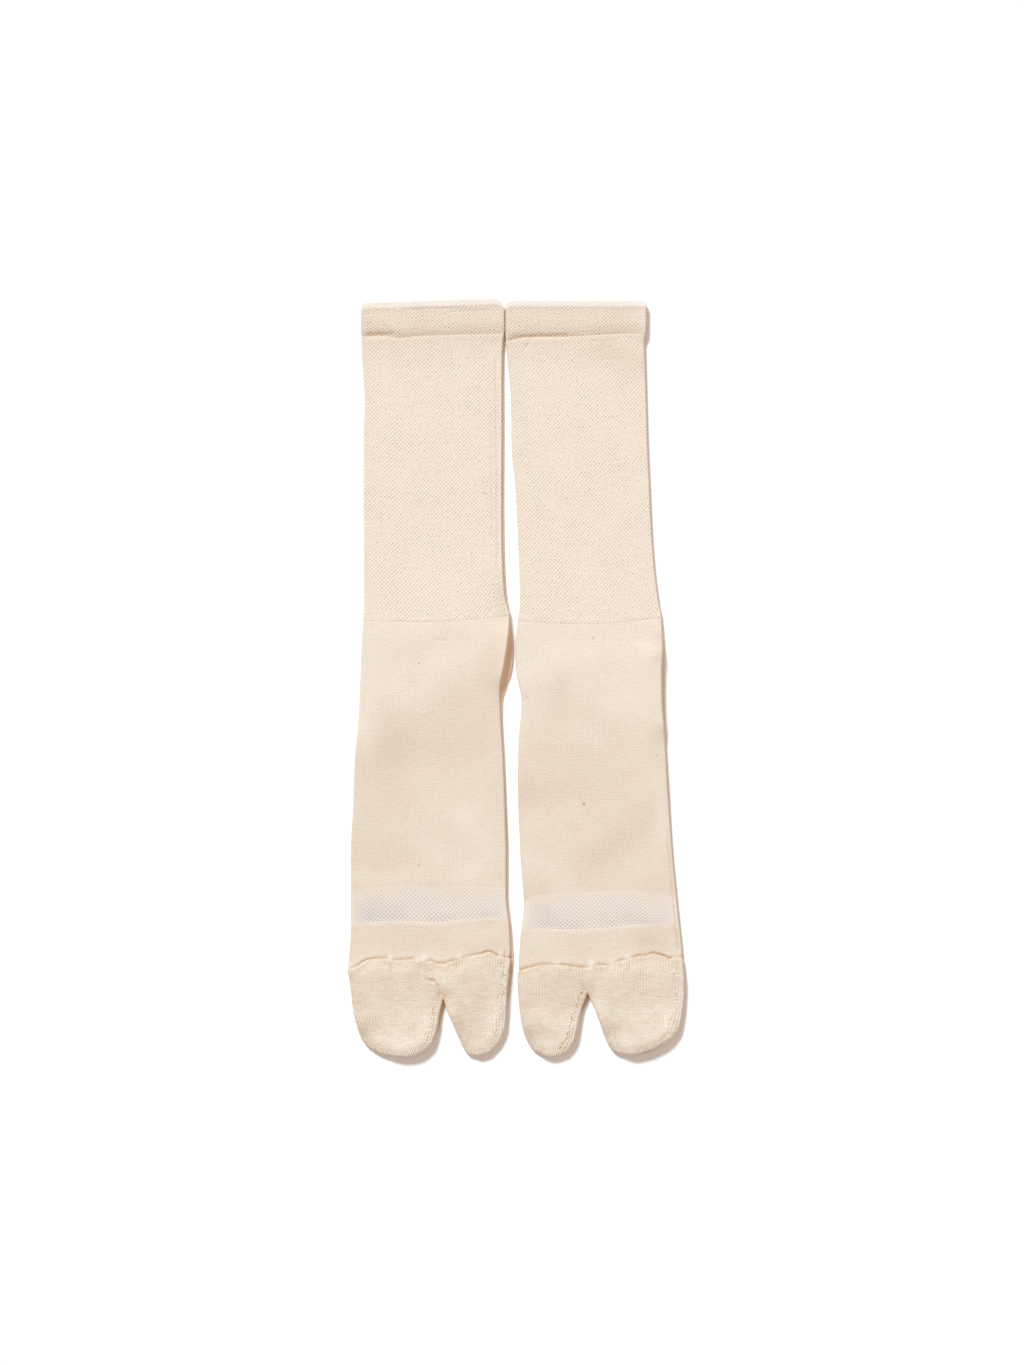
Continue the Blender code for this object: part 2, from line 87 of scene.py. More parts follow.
TOE_WALE = 1.65
TOE_MOUTH_HEIGHT = 4.8
TOE_RISE_LENGTH = 14.0
TOE_CROWN = 0.4
TOE_CROWN_REACH = 16.0
TIP_RIDGE = 0.7
TIP_SQUASH = 0.4  # of a pocket's left half, which lies flatter towards its tip
CROTCH_DIP = 1.3  # where the two pockets part
CORD_HEIGHT = 0.07  # of the terry's loops along a wale
RIB_HEIGHT = 0.16  # of the gathers round a tip
PUCKER_HEIGHT = 0.25  # along the toe seam
LOOP_HEIGHT = 0.12  # of single loops near a fold
LAST_WALE = 200  # that the right pocket's wales count back from
GORE_STEP = 0.6  # between a gore's holes and nubs
# A gore's nubs and holes: their size, their relief and their tint, which in the holes is painted shade.
Stitch = namedtuple("Stitch", "size relief tint")
GORE_NUB = Stitch(size=0.6, relief=0.3, tint=-0.4)
GORE_HOLE = Stitch(size=0.5, relief=-0.45, tint=2.6)

# The lower panel's ledge: runs of cloth from the fold, their reach as parts of the ledge's width,
# their heights after the first, and the run in which the panel is back in its place.
LEDGE_RUNS = (0.0, 0.5, 1.35, 2.0, 2.7, 3.4)
LEDGE_REACHES = (0.0, -0.05, 0.4, 0.85, 1.0, 0.85)
LEDGE_HEIGHTS = (1.35, 1.15, 0.9, 0.45, 0.0)
LEDGE_RETURN = 6.0
TOE_LEDGE = 1.7  # the widest that shows inside the cleft

# Painted shade in the creases, as a tint for each millimetre of depth.
CREASE_SHADE = 1.1  # the tint of a millimetre's depth
# Painted shade on the side fold that faces the light.
LIT_FOLD_SHADE = 0.35
SEAM_BOUNCE_LIGHT = 0.34  # painted warm bounce light along the linking seams, and how far it reaches
SEAM_BOUNCE_REACH = 0.7
# One side of a linking seam: how deep its groove is and how dark the painted shade in it is where
# the seam hardly shows, what a strong seam adds to each, the power of its strength in the shade,
# and how far each reaches.
Groove = namedtuple("Groove", "depth deeper width shade darker power reach")
WELT_GROOVE = Groove(depth=0.05, deeper=0.2, width=1.1, shade=0.04, darker=0.3, power=1, reach=1.3)
LEG_GROOVE = WELT_GROOVE._replace(darker=0.25)
ANKLE_GROOVE = Groove(depth=0, deeper=0.12, width=0.7, shade=0, darker=0.3, power=1, reach=0.7)
INSTEP_GROOVE = ANKLE_GROOVE._replace(darker=0.2, reach=0.6)
FOOT_GROOVE = Groove(depth=0.15, deeper=0.5, width=0.9, shade=0.1, darker=1.3, power=2, reach=0.6)
TOE_GROOVE = FOOT_GROOVE._replace(deeper=0.55, darker=1.4)

WHITE_YARN = (0.85, 0.78, 0.71)
HULL_BROWN = (0.33, 0.17, 0.07)
# The deepest colour of the tint: painted shade in the narrowest gaps, creases, seams and holes.
GAP_SHADE_BROWN = (0.42, 0.245, 0.11)
# Painted warm bounce light, for cloth in shade under a fold, in creases and seams, at the toes' crotch
# and in the gore holes.
BOUNCE_LIGHT_COLOUR = (0.88, 0.62, 0.42)

# A knit's colours from its top to its gaps, the yarn mixed into it, how far its pattern changes
# the tone, and the depths in millimetres of the pattern and of the fibres. The tint runs towards
# the deep and deepest colours for the yarn's own darker tones and for painted shade, and where a
# pattern has holes they take painted shade.
Look = namedtuple("Look", "light deep deepest other tone depth fibre")
CREAM_TUCK = Look(
    (0.916, 0.8145, 0.717), (0.58, 0.464, 0.343), GAP_SHADE_BROWN, WHITE_YARN, tone=0.22, depth=0.08, fibre=0.12
)
CREAM_PLAIN = Look(
    (0.91, 0.83, 0.735), (0.59, 0.455, 0.335), GAP_SHADE_BROWN, WHITE_YARN, tone=0.06, depth=0.03, fibre=0.16
)
CREAM_TERRY = Look(
    (0.90, 0.81, 0.70), (0.58, 0.43, 0.30), GAP_SHADE_BROWN, WHITE_YARN, tone=0.15, depth=0.11, fibre=0.35
)
# The mesh's deep and deepest colours are painted shade in and round its holes.
WHITE_MESH = Look(
    (0.92, 0.85, 0.78), (0.49, 0.455, 0.445), (0.30, 0.27, 0.26), (0.76, 0.655, 0.545),
    tone=0.1, depth=0.05, fibre=0.1,
)


# ---------------------------------------------------------------- the two socks

# How wide the sock lies at a height y.
Section = namedtuple("Section", "y left right")
# The heights of the lines that cross the sock, at a part of its width.
Seams = namedtuple("Seams", "part cuff welt ankle band_top band_bottom")
ToeSection = namedtuple("ToeSection", "y left cleft_left cleft_right right")
# A ridge or, with a negative rise, a trough along a line.
Fold = namedtuple("Fold", "x1 y1 x2 y2 width rise")
# A small round bump, or with a negative rise a small dent.
Spot = namedtuple("Spot", "x y size rise")
# A linking line inside a pocket's edge, and how far its holes stray from it.
Gore = namedtuple("Gore", "strength spread line")
# The outline comes first: sections, seams, toe_seam, cleft, toes and tips, the pockets' left and
# right tip points. window is the band's first and last column of points in the foot, and plain
# the wales of whole cloth at the band's ends. Then come the soft forms: lifts stand a side fold
# up, ledge is the lower panel's width past the right fold as (y, width), folds swell the upper
# panel, under dents the lower one, and creases and spots mark the upper one, the creases with
# painted shade. welt_line and toe_line are how strongly a seam shows, as (x, strength). Below the
# line deeper the foot is a shade deeper; the next table holds patches of painted shade and
# painted light; and flecks are specks, as (x, y, size). cleft_ledge is how far round the crotch
# the lower panel shows, and ledge_warmth the strength of every ledge's painted warm bounce light.
Sock = namedtuple(
    "Sock",
    "name sections seams toe_seam cleft toes tips window plain lifts ledge folds under creases spots"
    " gores welt_line toe_line deeper tones flecks cleft_ledge ledge_warmth",
)


def rows(kind, *values):
    """Rows of one kind of table, from their values in the order of its columns."""
    return [kind(*row) for row in values]


RIGHT_SOCK = Sock(
    name="right",
    sections=rows(
        Section, (227.5, -91.9, -9.2), (224, -92.7, -8.1), (220.5, -92.8, -6.5),
        (207.5, -92.7, -6.45), (202, -92.5, -7.4), (190, -92, -8), (166, -90.6, -8.1),
        (142, -91.2, -8.1), (106, -91.2, -8.3), (70, -91, -7.9), (48, -91, -6.4), (37, -91.3, -3.6),
        (22, -92.3, -4.8), (8, -92.9, -6.9), (-8, -93.4, -9.4), (-26, -94.4, -8.8),
        (-50, -96.4, -7.4), (-80, -97.6, -6.3), (-104, -98.8, -5.6), (-130, -98.8, -5.6),
        (-152, -98.9, -3.4), (-175, -100.7, -2.7),
    ),
    seams=rows(
        Seams, (0, 224.4, 204.7, 34.5, -130.2, -148.2), (0.05, 225.2, 204.7, 34.2, -129.2, -147.8),
        (0.15, 225.4, 205.2, 33.9, -126.9, -147.1), (0.25, 225.7, 203.8, 33.6, -126.3, -146.4),
        (0.4, 226.1, 205, 33.3, -126.3, -146.7), (0.55, 226.5, 205.4, 33.5, -126.3, -147),
        (0.7, 226.9, 205.9, 34.4, -126.3, -145.5), (0.85, 227.3, 206.3, 35.6, -126.5, -144.3),
        (0.93, 227.5, 206.4, 36.3, -127, -144.1), (0.97, 227.3, 206.5, 36.7, -127.3, -144.8),
        (1, 225.2, 206.5, 37, -127.5, -145.5),
    ),
    toe_seam=(
        (-100.7, -174.8), (-95.8, -173.1), (-93.4, -171.3), (-90.4, -169.5), (-86.2, -168.5),
        (-77.8, -168.1), (-71.8, -169.3), (-62.2, -168.5), (-59.2, -169.5), (-57.4, -170.9),
        (-51.4, -169.7), (-48.4, -170.9), (-44.2, -171.3), (-40, -170), (-33.4, -168.5),
        (-29.5, -166.9), (-25, -166.1), (-20.8, -165.2), (-17.8, -164.1), (-14.8, -164.9),
        (-12.4, -166.4), (-9.4, -167.1), (-4.1, -167.8),
    ),
    cleft=(-43.4, -193.1),
    toes=rows(
        ToeSection, (-186, -99, None, None, -4.7), (-194, -98.1, None, None, -5),
        (-202, -97, -45.6, -40.2, -5.6), (-210, -94.9, -46.9, -36.8, -6.5),
        (-217, -92, -48.9, -33.6, -9.2), (-222, -87, -52.3, -31.2, -12.9),
    ),
    tips=(
        ((-80, -226), (-69, -227.5), (-58.5, -226)),
        ((-27.6, -226.1), (-21.5, -226.5), (-16.4, -225)),
    ),
    window=(2, 128),
    plain=(0.5, 0.6),
    lifts=rows(
        Fold, (-3, 2, -1, 22, 10, 5.6), (-1, 32, -3, 62, 8, 1),
    ),
    ledge=(
        (-206, 0), (-196, 0.6), (-186, 1.6), (-172, 2.1), (-160, 1.5), (-148, 1.1), (-135, 1.2),
        (-100, 1.2), (-70, 1.1), (-45, 1), (-25, 1.1), (-13.5, 1.8), (-6.9, 3.5), (0.3, 5.5),
        (5, 5.6), (10.5, 5.2), (24.9, 3.1), (32, 0.7), (38, 0.5), (46, 1.3), (62, 1.4), (150, 1.3),
        (194, 1.2), (202, 1.3), (205.5, 0.7), (208.5, 0),
    ),
    folds=rows(
        Fold, (-84, -32, -8, 14, 15, 0.2), (-92, -58, -24, -48, 16, -0.8),
        (-88, 24, -12, 26, 9, 0.25), (-70, 8, -30, 22, 7, -0.25), (-36, -84, -8, -92, 12, 0.45),
        (-94, -113, -66, -112, 10, -0.35), (-50, -96, -12, -118, 9, -0.25),
        (-96, -124, -20, -122, 5, 0.25), (-86, -141, -50, -140, 6, -0.3),
        (-34, -136, -18, -150, 6, -0.35), (-34, -160, -10, -156, 5, 0.3),
        (-92, -175, -60, -174, 5, 0.5), (-46, -173, -42, -186, 6, 0.7),
        (-88, -197, -56, -199, 9, -0.6), (-84, -216, -58, -218, 8, 0.5),
        (-34, -177, -26, -174, 5, 0.5), (-24, -196, -18, -204, 8, -0.6),
        (-28, -222, -16, -222, 12, -1.3),
    ),
    under=rows(
        Fold, (-80, 212, -34, 216, 3, -0.3), (-82, 150, -30, 138, 6, -0.35),
        (-86, 62, -44, 74, 5, -0.3), (-70, -30, -20, -52, 9, -0.45), (-86, -92, -52, -84, 6, -0.3),
        (-60, -128, -16, -120, 7, -0.35), (-90, -186, -62, -192, 6, -0.35),
        (-30, -186, -14, -203, 6, -0.4),
    ),
    creases=rows(
        Fold, (-88, 205.3, -74, 205.8, 1.6, -0.5), (-80, 204.5, -88, 212, 1.2, -0.25),
        (-74, 206, -78, 211, 1, -0.2), (-64, 220.4, -30, 221.4, 0.9, -0.15),
        (-38, 219.2, -16, 220.2, 0.8, -0.22), (-11.8, 190, -10.8, 64, 0.7, -0.3),
        (-14.6, 158, -13.8, 84, 0.6, -0.18), (-48, 23.1, -42, 22.2, 0.8, -0.2),
        (-5.8, -164.1, -6.6, -167.1, 0.7, -0.5), (-53.2, -180.3, -50.8, -181.4, 0.9, -0.4),
        (-50.6, -181.5, -48.6, -182.2, 0.9, -0.95), (-47.8, -183, -46.4, -185, 0.8, -0.45),
        (-46.6, -184.5, -45, -190, 1, -0.5), (-74.8, -172.4, -74.2, -174.6, 1.3, -0.35),
        (-54, -172.2, -52.4, -176, 1.8, -0.4), (-35, -172.4, -34.6, -174.2, 1.2, -0.3),
    ),
    spots=rows(
        Spot, (-75, -168.4, 1.4, 0.3), (-58.6, -170, 1.6, 0.3), (-54.6, -168.6, 2, 0.4),
        (-34, -167.6, 1.5, 0.25), (-98.6, -173.4, 2, 0.3), (-8.6, -166.6, 1.4, 0.25),
    ),
    gores=rows(
        Gore,
        (0.9, 1.2, (
            (-49, -196.9), (-49.4, -204.9), (-49.8, -208.5), (-52, -213.3), (-53.8, -219),
        )),
        (0.8, 1.8, (
            (-7.6, -171.9), (-7.2, -182.7), (-9, -192.3), (-9.9, -201.9), (-11, -206.7),
            (-14, -214),
        )),
    ),
    welt_line=(
        (-92, 0.5), (-87, 1), (-78, 1), (-75, 0.7), (-60, 0.9), (-45, 0.8), (-38, 0.65), (-20, 0.5),
        (-8, 0.4),
    ),
    toe_line=(
        (-100.4, 0.1), (-95.5, 0.7), (-87.5, 0.9), (-76.6, 0.6), (-75.2, 0.1), (-72.7, 0.5),
        (-62.8, 0.8), (-58.8, 0), (-53.9, 0.1), (-51.4, 0.5), (-46, 0.8), (-38, 0.7), (-34.1, 0.1),
        (-30.1, 0.4), (-23.2, 0.7), (-18.2, 1), (-11.3, 0.8), (-7.9, 0.4), (-5.4, 0.6),
    ),
    deeper=((-95, -34), (-75, -24), (-60, -18), (-45, -6), (-30, 3), (-9, 14)),
    tones=rows(
        Fold, (-76, -25, -76, -66, 12, 0.22), (-30, -84, -14, -104, 12, -0.3),
        (-55, -94, -32, -116, 14, -0.2), (-64, 2, -60, 6, 9, 0.2), (-11, 36, -11, 60, 9, 0.15),
        (-7, 52, -6, 30, 5, 0.45), (-12, 24, -13, 4, 8, 0.4), (-21, -188, -21, -196, 6, 0.25),
        (-56, 55, -30, 55, 18, -0.12), (-96, -178, -90, -212, 7, 0.25),
        (-33, -200, -28, -214, 8, 0.4), (-45, -179, -43, -182, 5, -0.25),
        (-57, -172, -53, -175, 6, 0.25), (-70, -220, -64, -220, 6, -0.3),
        (-97, -138, -72, -141, 7, 0.35), (-90, -30, -90, -44, 6, -0.3),
        (-94, -210, -86, -219, 4, 0.3),
    ),
    flecks=(
        (-58, 8.7, 0.38), (-18.6, 110.7, 0.5), (-60.4, -39.3, 0.27), (-58, -112.5, 0.4),
        (-18.4, -78.3, 0.35), (-89.2, -144.3, 0.35), (-86.2, -144.3, 0.3),
    ),
    cleft_ledge=22,
    ledge_warmth=0.9,
)

LEFT_SOCK = Sock(
    name="left",
    sections=rows(
        Section, (226, -5.2, 77.6), (222.5, -6.2, 78.5), (207.5, -6.15, 78.3), (201, -6, 77.2),
        (190, -4.8, 77.6), (160, -2.6, 78.4), (140, -2.5, 79), (118, -0.4, 80), (97, 0.8, 80.9),
        (70, 2, 82.7), (46, 2.6, 85.6), (35, 1.5, 87.6), (18, -0.2, 88.1), (4, 0.5, 87.4),
        (-14, 3.5, 87.6), (-38, 1.8, 89.6), (-62, 1.4, 91), (-104, 2.8, 93.8), (-138, 5, 97.1),
        (-153, 3.2, 98.7), (-176, 1.6, 101.1),
    ),
    seams=rows(
        Seams, (0, 225.1, 201.9, 33.9, -135, -150.5), (0.05, 226.2, 202.4, 33.6, -132.4, -150.4),
        (0.15, 226.4, 204.4, 33, -131.3, -151), (0.25, 226.4, 204.5, 32.6, -130.9, -151.4),
        (0.4, 226.4, 204.5, 32.2, -129.8, -151.1), (0.55, 226.4, 205.1, 32.1, -128.9, -150.4),
        (0.7, 226.4, 205.8, 33, -129.3, -148.6), (0.85, 226.4, 206.5, 34.4, -130.8, -148.4),
        (0.93, 226.3, 206.5, 35.2, -131.3, -148.5), (0.97, 226.1, 206.3, 35.5, -132.2, -148.8),
        (1, 224.9, 206.1, 35.7, -133.5, -149.1),
    ),
    toe_seam=(
        (1.6, -175.5), (8, -173.7), (11.6, -172.8), (15.2, -172.1), (26.6, -172.1), (35, -173.1),
        (39.8, -173.7), (46.4, -173.1), (50.3, -172.1), (56, -172.4), (60.2, -170.7),
        (63.8, -169.5), (66.2, -169.3), (70.4, -167.7), (73.4, -166.7), (78.2, -166.5),
        (83, -165.3), (86, -165.7), (90.2, -167.1), (92.9, -168.2), (96, -167.6), (100.8, -167.7),
    ),
    cleft=(43.2, -189.3),
    toes=rows(
        ToeSection, (-182, 1.3, None, None, 101.2), (-190, 1.6, None, None, 101),
        (-198, 2.4, 39.8, 47.2, 100.4), (-206, 3.4, 38, 50.1, 99), (-213, 5.1, 36.8, 52.5, 96.2),
        (-219, 7.6, 34.8, 55.1, 90.2),
    ),
    tips=(
        ((12.6, -224.6), (20.6, -227.4), (29.6, -225)),
        ((60, -224.6), (70, -226.4), (79.8, -224.2)),
    ),
    window=(2, 125),
    plain=(1, 1),
    lifts=rows(
        Fold, (89, 12, 91, -26, 9, 3.6), (80, 225, 80, 208, 6, 1.5),
    ),
    ledge=(
        (-75, 0), (-50, 0.3), (-31, 1.2), (-21, 1.8), (-9, 2), (-2, 1.9), (8, 1.6), (22, 1.6),
        (34, 0.8), (42, 0.2), (46, 0),
    ),
    folds=rows(
        Fold, (2, -2, 38, 8, 13, 0.7), (16, -30, 44, 16, 8, -0.3), (44, 198, 78, 190, 8, 0.6),
        (46, 12, 84, 10, 11, 0.4), (6, -62, 34, -44, 13, 0.3), (6, -80, 28, -74, 11, -0.8),
        (34, -66, 88, -60, 15, 0.4), (36, -107, 84, -67, 11, 0.45), (44, -124, 82, -95, 10, -0.45),
        (8, -118, 30, -124, 8, 0.25), (6, -148, 26, -172, 8, 0.75), (22, -147, 66, -145, 4, -0.25),
        (72, -146, 90, -154, 6, -0.35), (10, -177, 34, -176, 5, 0.4), (10, -197, 34, -199, 8, -0.6),
        (10, -210, 22, -208, 6, 0.4), (12, -226, 30, -226, 10, -1), (62, -176, 88, -172, 5, 0.4),
        (64, -197, 92, -196, 9, -0.7), (60, -214, 84, -214, 9, 0.5),
    ),
    under=rows(
        Fold, (12, 214, 58, 210, 3, -0.3), (10, 128, 60, 142, 6, -0.35), (30, 66, 76, 58, 5, -0.3),
        (14, -44, 62, -24, 9, -0.45), (48, -86, 84, -94, 6, -0.3), (16, -122, 56, -130, 7, -0.35),
        (60, -190, 90, -184, 6, -0.35), (12, -200, 28, -188, 6, -0.4),
    ),
    creases=rows(
        Fold, (-2, 203.5, 30, 205.1, 1.4, -0.4), (54, 196, 76, 188, 7, -0.3),
        (6, 198, 10, 204, 1.2, -0.2), (33, -173.8, 33.4, -175.6, 1, -0.35),
        (47, -174, 48.4, -176.2, 1.8, -0.45), (62.6, -172, 63.2, -174, 1.2, -0.3),
        (68.4, -170.6, 67.6, -174.6, 1.6, -0.4), (40.2, -184.5, 42.2, -188, 1, -0.4),
        (46.6, -176, 44, -188, 3, 0.4), (91.2, -92, 94.9, -138, 0.8, -0.35),
        (94.9, -138, 97.8, -163, 0.8, -0.45),
    ),
    spots=rows(
        Spot, (45.6, -172.2, 2, 0.4), (67.6, -168.2, 1.8, 0.3), (25, -171.4, 1.6, 0.2),
        (58.2, -171, 1.4, 0.2),
    ),
    gores=rows(
        Gore,
        (1.1, 1.3, (
            (41, -187.8), (39.2, -189.3), (37.2, -191.7), (36.6, -195.1), (34.9, -198.9),
            (34.1, -203.1), (33.6, -206.7), (32.4, -210.9), (30.8, -215.1), (28.9, -219.3),
            (26.5, -223),
        )),
        (0.5, 1, (
            (95, -172.7), (95.8, -177.9), (96, -185.7), (95.8, -190.8), (95.1, -195.9),
            (94.4, -200.1), (93, -204.3), (91.4, -208.5), (88.6, -213.5), (84, -218.6),
        )),
    ),
    welt_line=((-4, 0.6), (5, 1.1), (32, 0.95), (42, 0.7), (62, 0.7), (68, 0.25), (76, 0.1)),
    toe_line=(
        (1.6, 0.5), (8.6, 0.8), (17.5, 0.6), (22.4, 0.2), (25.9, 0.2), (28.4, 0.9), (31.3, 0.6),
        (38.3, 0.8), (41.2, 0.7), (43.7, 0.05), (48.2, 0.05), (51.1, 0.7), (54.6, 0.4),
        (58.1, 0.15), (63, 0.7), (66, 0.2), (69, 0.1), (71.9, 0.9), (77.9, 0.7), (83.8, 1),
        (88.7, 1.2), (92.7, 1.2), (94.2, 0.3), (99.7, 0.2),
    ),
    deeper=((0, -40), (17.6, -22), (29.6, -5), (50, -20), (70, -28), (87, -36)),
    tones=rows(
        Fold, (88, -68, 90, -92, 8, -0.35), (83, 8, 84, -26, 8, 0.35), (86, 23, 87, 15, 5.5, 0.65),
        (4, -105, 28, -125, 10, -0.2), (48, -130, 54, -130, 6, 0.2), (6, -157, 20, -157, 6, -0.2),
        (77, -157, 83, -159, 7, 0.45), (6, -198, 12, -214, 7, 0.3), (55, -203, 58, -218, 6, 0.35),
        (30, -196, 36, -196, 6, 0.25), (86, -177, 90, -177, 6, -0.25), (12, -177, 48, -177, 5, 0.2),
        (6, -138, 16, -140, 7, 0.4), (38, -31, 46, -34, 7, -0.25),
    ),
    flecks=(
        (40.9, -75.9, 0.75), (46.4, 23.7, 0.5), (6.8, -11.7, 0.4), (84.8, -46.5, 0.45),
        (85.4, -191.1, 0.3), (31, 148, 0.3),
    ),
    cleft_ledge=13,
    ledge_warmth=0.4,
)


# ---------------------------------------------------------------- curves and soft forms


def smooth(at, places, values):
    """Values at any places, on a cubic curve through the given ones that never overshoots them."""
    at = np.clip(at, places[0], places[-1])
    steps = np.diff(places)
    rates = np.diff(values) / steps
    same_way = rates[:-1] * rates[1:] > 0
    total = np.where(same_way, rates[:-1] + rates[1:], 1.0)
    inner = np.where(same_way, 2 * rates[:-1] * rates[1:] / total, 0.0)
    slopes = np.concatenate([[rates[0]], inner, [rates[-1]]])
    span = np.clip(np.searchsorted(places, at, side="right") - 1, 0, len(steps) - 1)
    t = (at - places[span]) / steps[span]
    start = values[span] * (1 + 2 * t) + slopes[span] * steps[span] * t
    end = values[span + 1] * (3 - 2 * t) - slopes[span + 1] * steps[span] * (1 - t)
    return start * (1 - t) ** 2 + end * t**2


def column(table, name):
    """One column of a table."""
    return np.array([getattr(row, name) for row in table], float)


def fold_edges(sock, y):
    """Where the left and the right side fold lie at the heights y."""
    heights = column(sock.sections, "y")[::-1]
    return [smooth(y, heights, column(sock.sections, name)[::-1]) for name in ("left", "right")]


def line_across(sock, name, side=0):
    """One of the lines that cross the sock, as a function of the width's part.

    side is 1 for the line just above its seam, and -1 for the one just below.
    """
    shift = side * SEAM_GAP / 2
    if name == "toe":
        places, heights = np.array(sock.toe_seam).T
        return lambda part: smooth(places[0] + part * np.ptp(places), places, heights) + shift
    places, heights = column(sock.seams, "part"), column(sock.seams, name)
    return lambda part: smooth(part, places, heights) + shift


def bell(distance, width):
    """1 at no distance, and down to almost nothing at twice the width."""
    return np.exp(-((distance / width) ** 2))


def ease(value):
    """From 0 to 1 as the value goes from 0 to 1, with soft ends."""
    value = np.clip(value, 0, 1)
    return value * value * (3 - 2 * value)


def onset(distance, start, length):
    """0 before the start, and eased to 1 over a length."""
    return ease((distance - start) / length)


def away_from(net, x, y):
    """The distances of a net's points from a point, or each from its own."""
    return np.hypot(net.x - x, net.y - y)


def mottle(net, size, seed, stretch=(1, 1)):
    """Smooth random values from -1 to 1, in patches of about this size."""
    table = np.random.default_rng(seed).uniform(-1, 1, (RANDOM_CELLS, RANDOM_CELLS))
    x, y = net.x * stretch[0] / size, net.y * stretch[1] / size
    column_at, row_at = np.floor(x).astype(int), np.floor(y).astype(int)
    s, t = ease(x - column_at), ease(y - row_at)
    corner = [
        [table[(column_at + i) % RANDOM_CELLS, (row_at + j) % RANDOM_CELLS] for j in (0, 1)]
        for i in (0, 1)
    ]
    low = corner[0][0] * (1 - s) + corner[1][0] * s
    high = corner[0][1] * (1 - s) + corner[1][1] * s
    return low * (1 - t) + high * t


def folded(folds, net):
    """How far the ridges and troughs lift the cloth."""
    lift = np.zeros_like(net.x)
    for fold in folds:
        way = np.array([fold.x2 - fold.x1, fold.y2 - fold.y1], float)
        ahead = (net.x - fold.x1) * way[0] + (net.y - fold.y1) * way[1]
        part = np.clip(ahead / (way @ way), 0, 1)
        away = away_from(net, fold.x1 + part * way[0], fold.y1 + part * way[1])
        lift += fold.rise * bell(away, fold.width)
    return lift


def through(points):
    """A smooth curve through plan points, as a dense line."""
    points = np.array(points, float)
    ends = np.vstack([2 * points[0] - points[1], points, 2 * points[-1] - points[-2]])
    line = [points[0]]
    for a, b, c, d in zip(ends, ends[1:], ends[2:], ends[3:]):
        for t in np.linspace(0, 1, CURVE_STEPS + 1)[1:]:
            bend = (2 * a - 5 * b + 4 * c - d) * t**2 + (3 * b - a - 3 * c + d) * t**3
            line.append(b + ((c - a) * t + bend) / 2)
    return np.array(line)


def lengths(line):
    """The length of a line up to each of its points."""
    return np.concatenate([[0], np.cumsum(np.linalg.norm(np.diff(line, axis=0), axis=1))])


def along(line, parts):
    """Points at these parts of a line's length."""
    length = lengths(line)
    at = np.asarray(parts) * length[-1]
    return np.stack([np.interp(at, length, line[:, 0]), np.interp(at, length, line[:, 1])], -1)


# ---------------------------------------------------------------- nets of points


class Net:
    """Rows of points of a zone in plan, with what places them on the pressed tube.

    distance is how far each lies from the nearest edge, and inward_x, inward_y the way in from
    it; side is 1 on the upper panel and -1 on the lower; u counts wales and v courses; down and up
    are the distances from the zone's first line and to its last.
    """

    names = "x y distance inward_x inward_y side u v down up".split()

    def __init__(self, rows, radius):
        self.radius = radius
        for number, name in enumerate(self.names):
            setattr(self, name, np.array([row[number] for row in rows], float))

    def rows(self, chosen):
        """The same net with only these rows."""
        part = Net([], self.radius)
        for name in self.names:
            setattr(part, name, getattr(self, name)[chosen])
        return part

    @property
    def level(self):
        """1 on the edge, and 0 from where the panel lies flat."""
        return np.clip(1 - self.distance / self.radius, 0, 1)

    @property
    def rise(self):
        """0 on the edge, 1 on the flat of the upper panel and -1 on that of the lower."""
        return (1 - self.level**FULLNESS) ** (1 / FULLNESS) * self.side

    @property
    def upper(self):
        """The same on the upper panel, and 0 on the lower."""
        return np.maximum(self.rise, 0)


def round_the_tube(width, radius, turns):
    """Distances from the left fold, and the panels, of these parts of the girth, left fold first."""
    half = width + (math.pi - 2) * radius
    run = turns * 2 * half
    side = np.where(run <= half, 1.0, -1.0)
    run = np.where(run <= half, run, 2 * half - run)
    return from_left(run, width, radius), side


def from_left(run, width, radius, both=True):
    """How far from the left fold a run over the top gets: round the fold, across, round again."""
    quarter = math.pi / 2 * radius
    half = width + (math.pi - 2) * radius if both else width - radius + quarter
    near = np.minimum(run, half - run) if both else run
    offset = radius * (1 - np.cos(np.clip(near / radius, 0, math.pi / 2)))
    offset = offset + np.maximum(near - quarter, 0)
    return np.where(run <= half / 2, offset, width - offset) if both else offset


def row_parts(length, step, start=True, end=True):
    """Even rows along a stretch, with extra ones where its ends turn in."""
    count = max(round(length / step), 1)
    parts = set(np.arange(count + 1) / count)
    for extra in END_ROWS:
        parts |= {extra / length} if start else set()
        parts |= {1 - extra / length} if end else set()
    return np.array(sorted(parts))


def tube_net(sock, zone, lines, ends, turns, wales):
    """A net round the flat tube, down through the lines that cross it."""
    points, radius, travelled = [], zone.height / 2, 0.0
    for number, (upper, lower) in enumerate(zip(lines, lines[1:])):
        length = float(upper(0.5) - lower(0.5))
        parts = row_parts(length, zone.course / zone.along, *ends[number])
        for part in parts[number > 0 :]:
            left, right = fold_edges(sock, upper(0.5) * (1 - part) + lower(0.5) * part)
            width = float(right - left)
            offset, side = round_the_tube(width, radius, turns)
            across = offset / width
            y = upper(across) * (1 - part) + lower(across) * part
            left, right = fold_edges(sock, y)
            distance = np.minimum(across, 1 - across) * (right - left)
            inward = np.where(across < 0.5, 1.0, -1.0)
            row = (left + across * (right - left), y, distance, inward, 0 * y, side)
            courses = np.full_like(y, (travelled + part * length) / zone.course)
            down, up = lines[0](across) - y, y - lines[-1](across)
            points.append((*row, turns * wales, courses, down, up))
        travelled += length
    return Net(points, radius)


def full_turn(zone):
    """The parts of the girth where a zone's points lie."""
    return np.arange(zone.wales * zone.across + 1) / (zone.wales * zone.across)


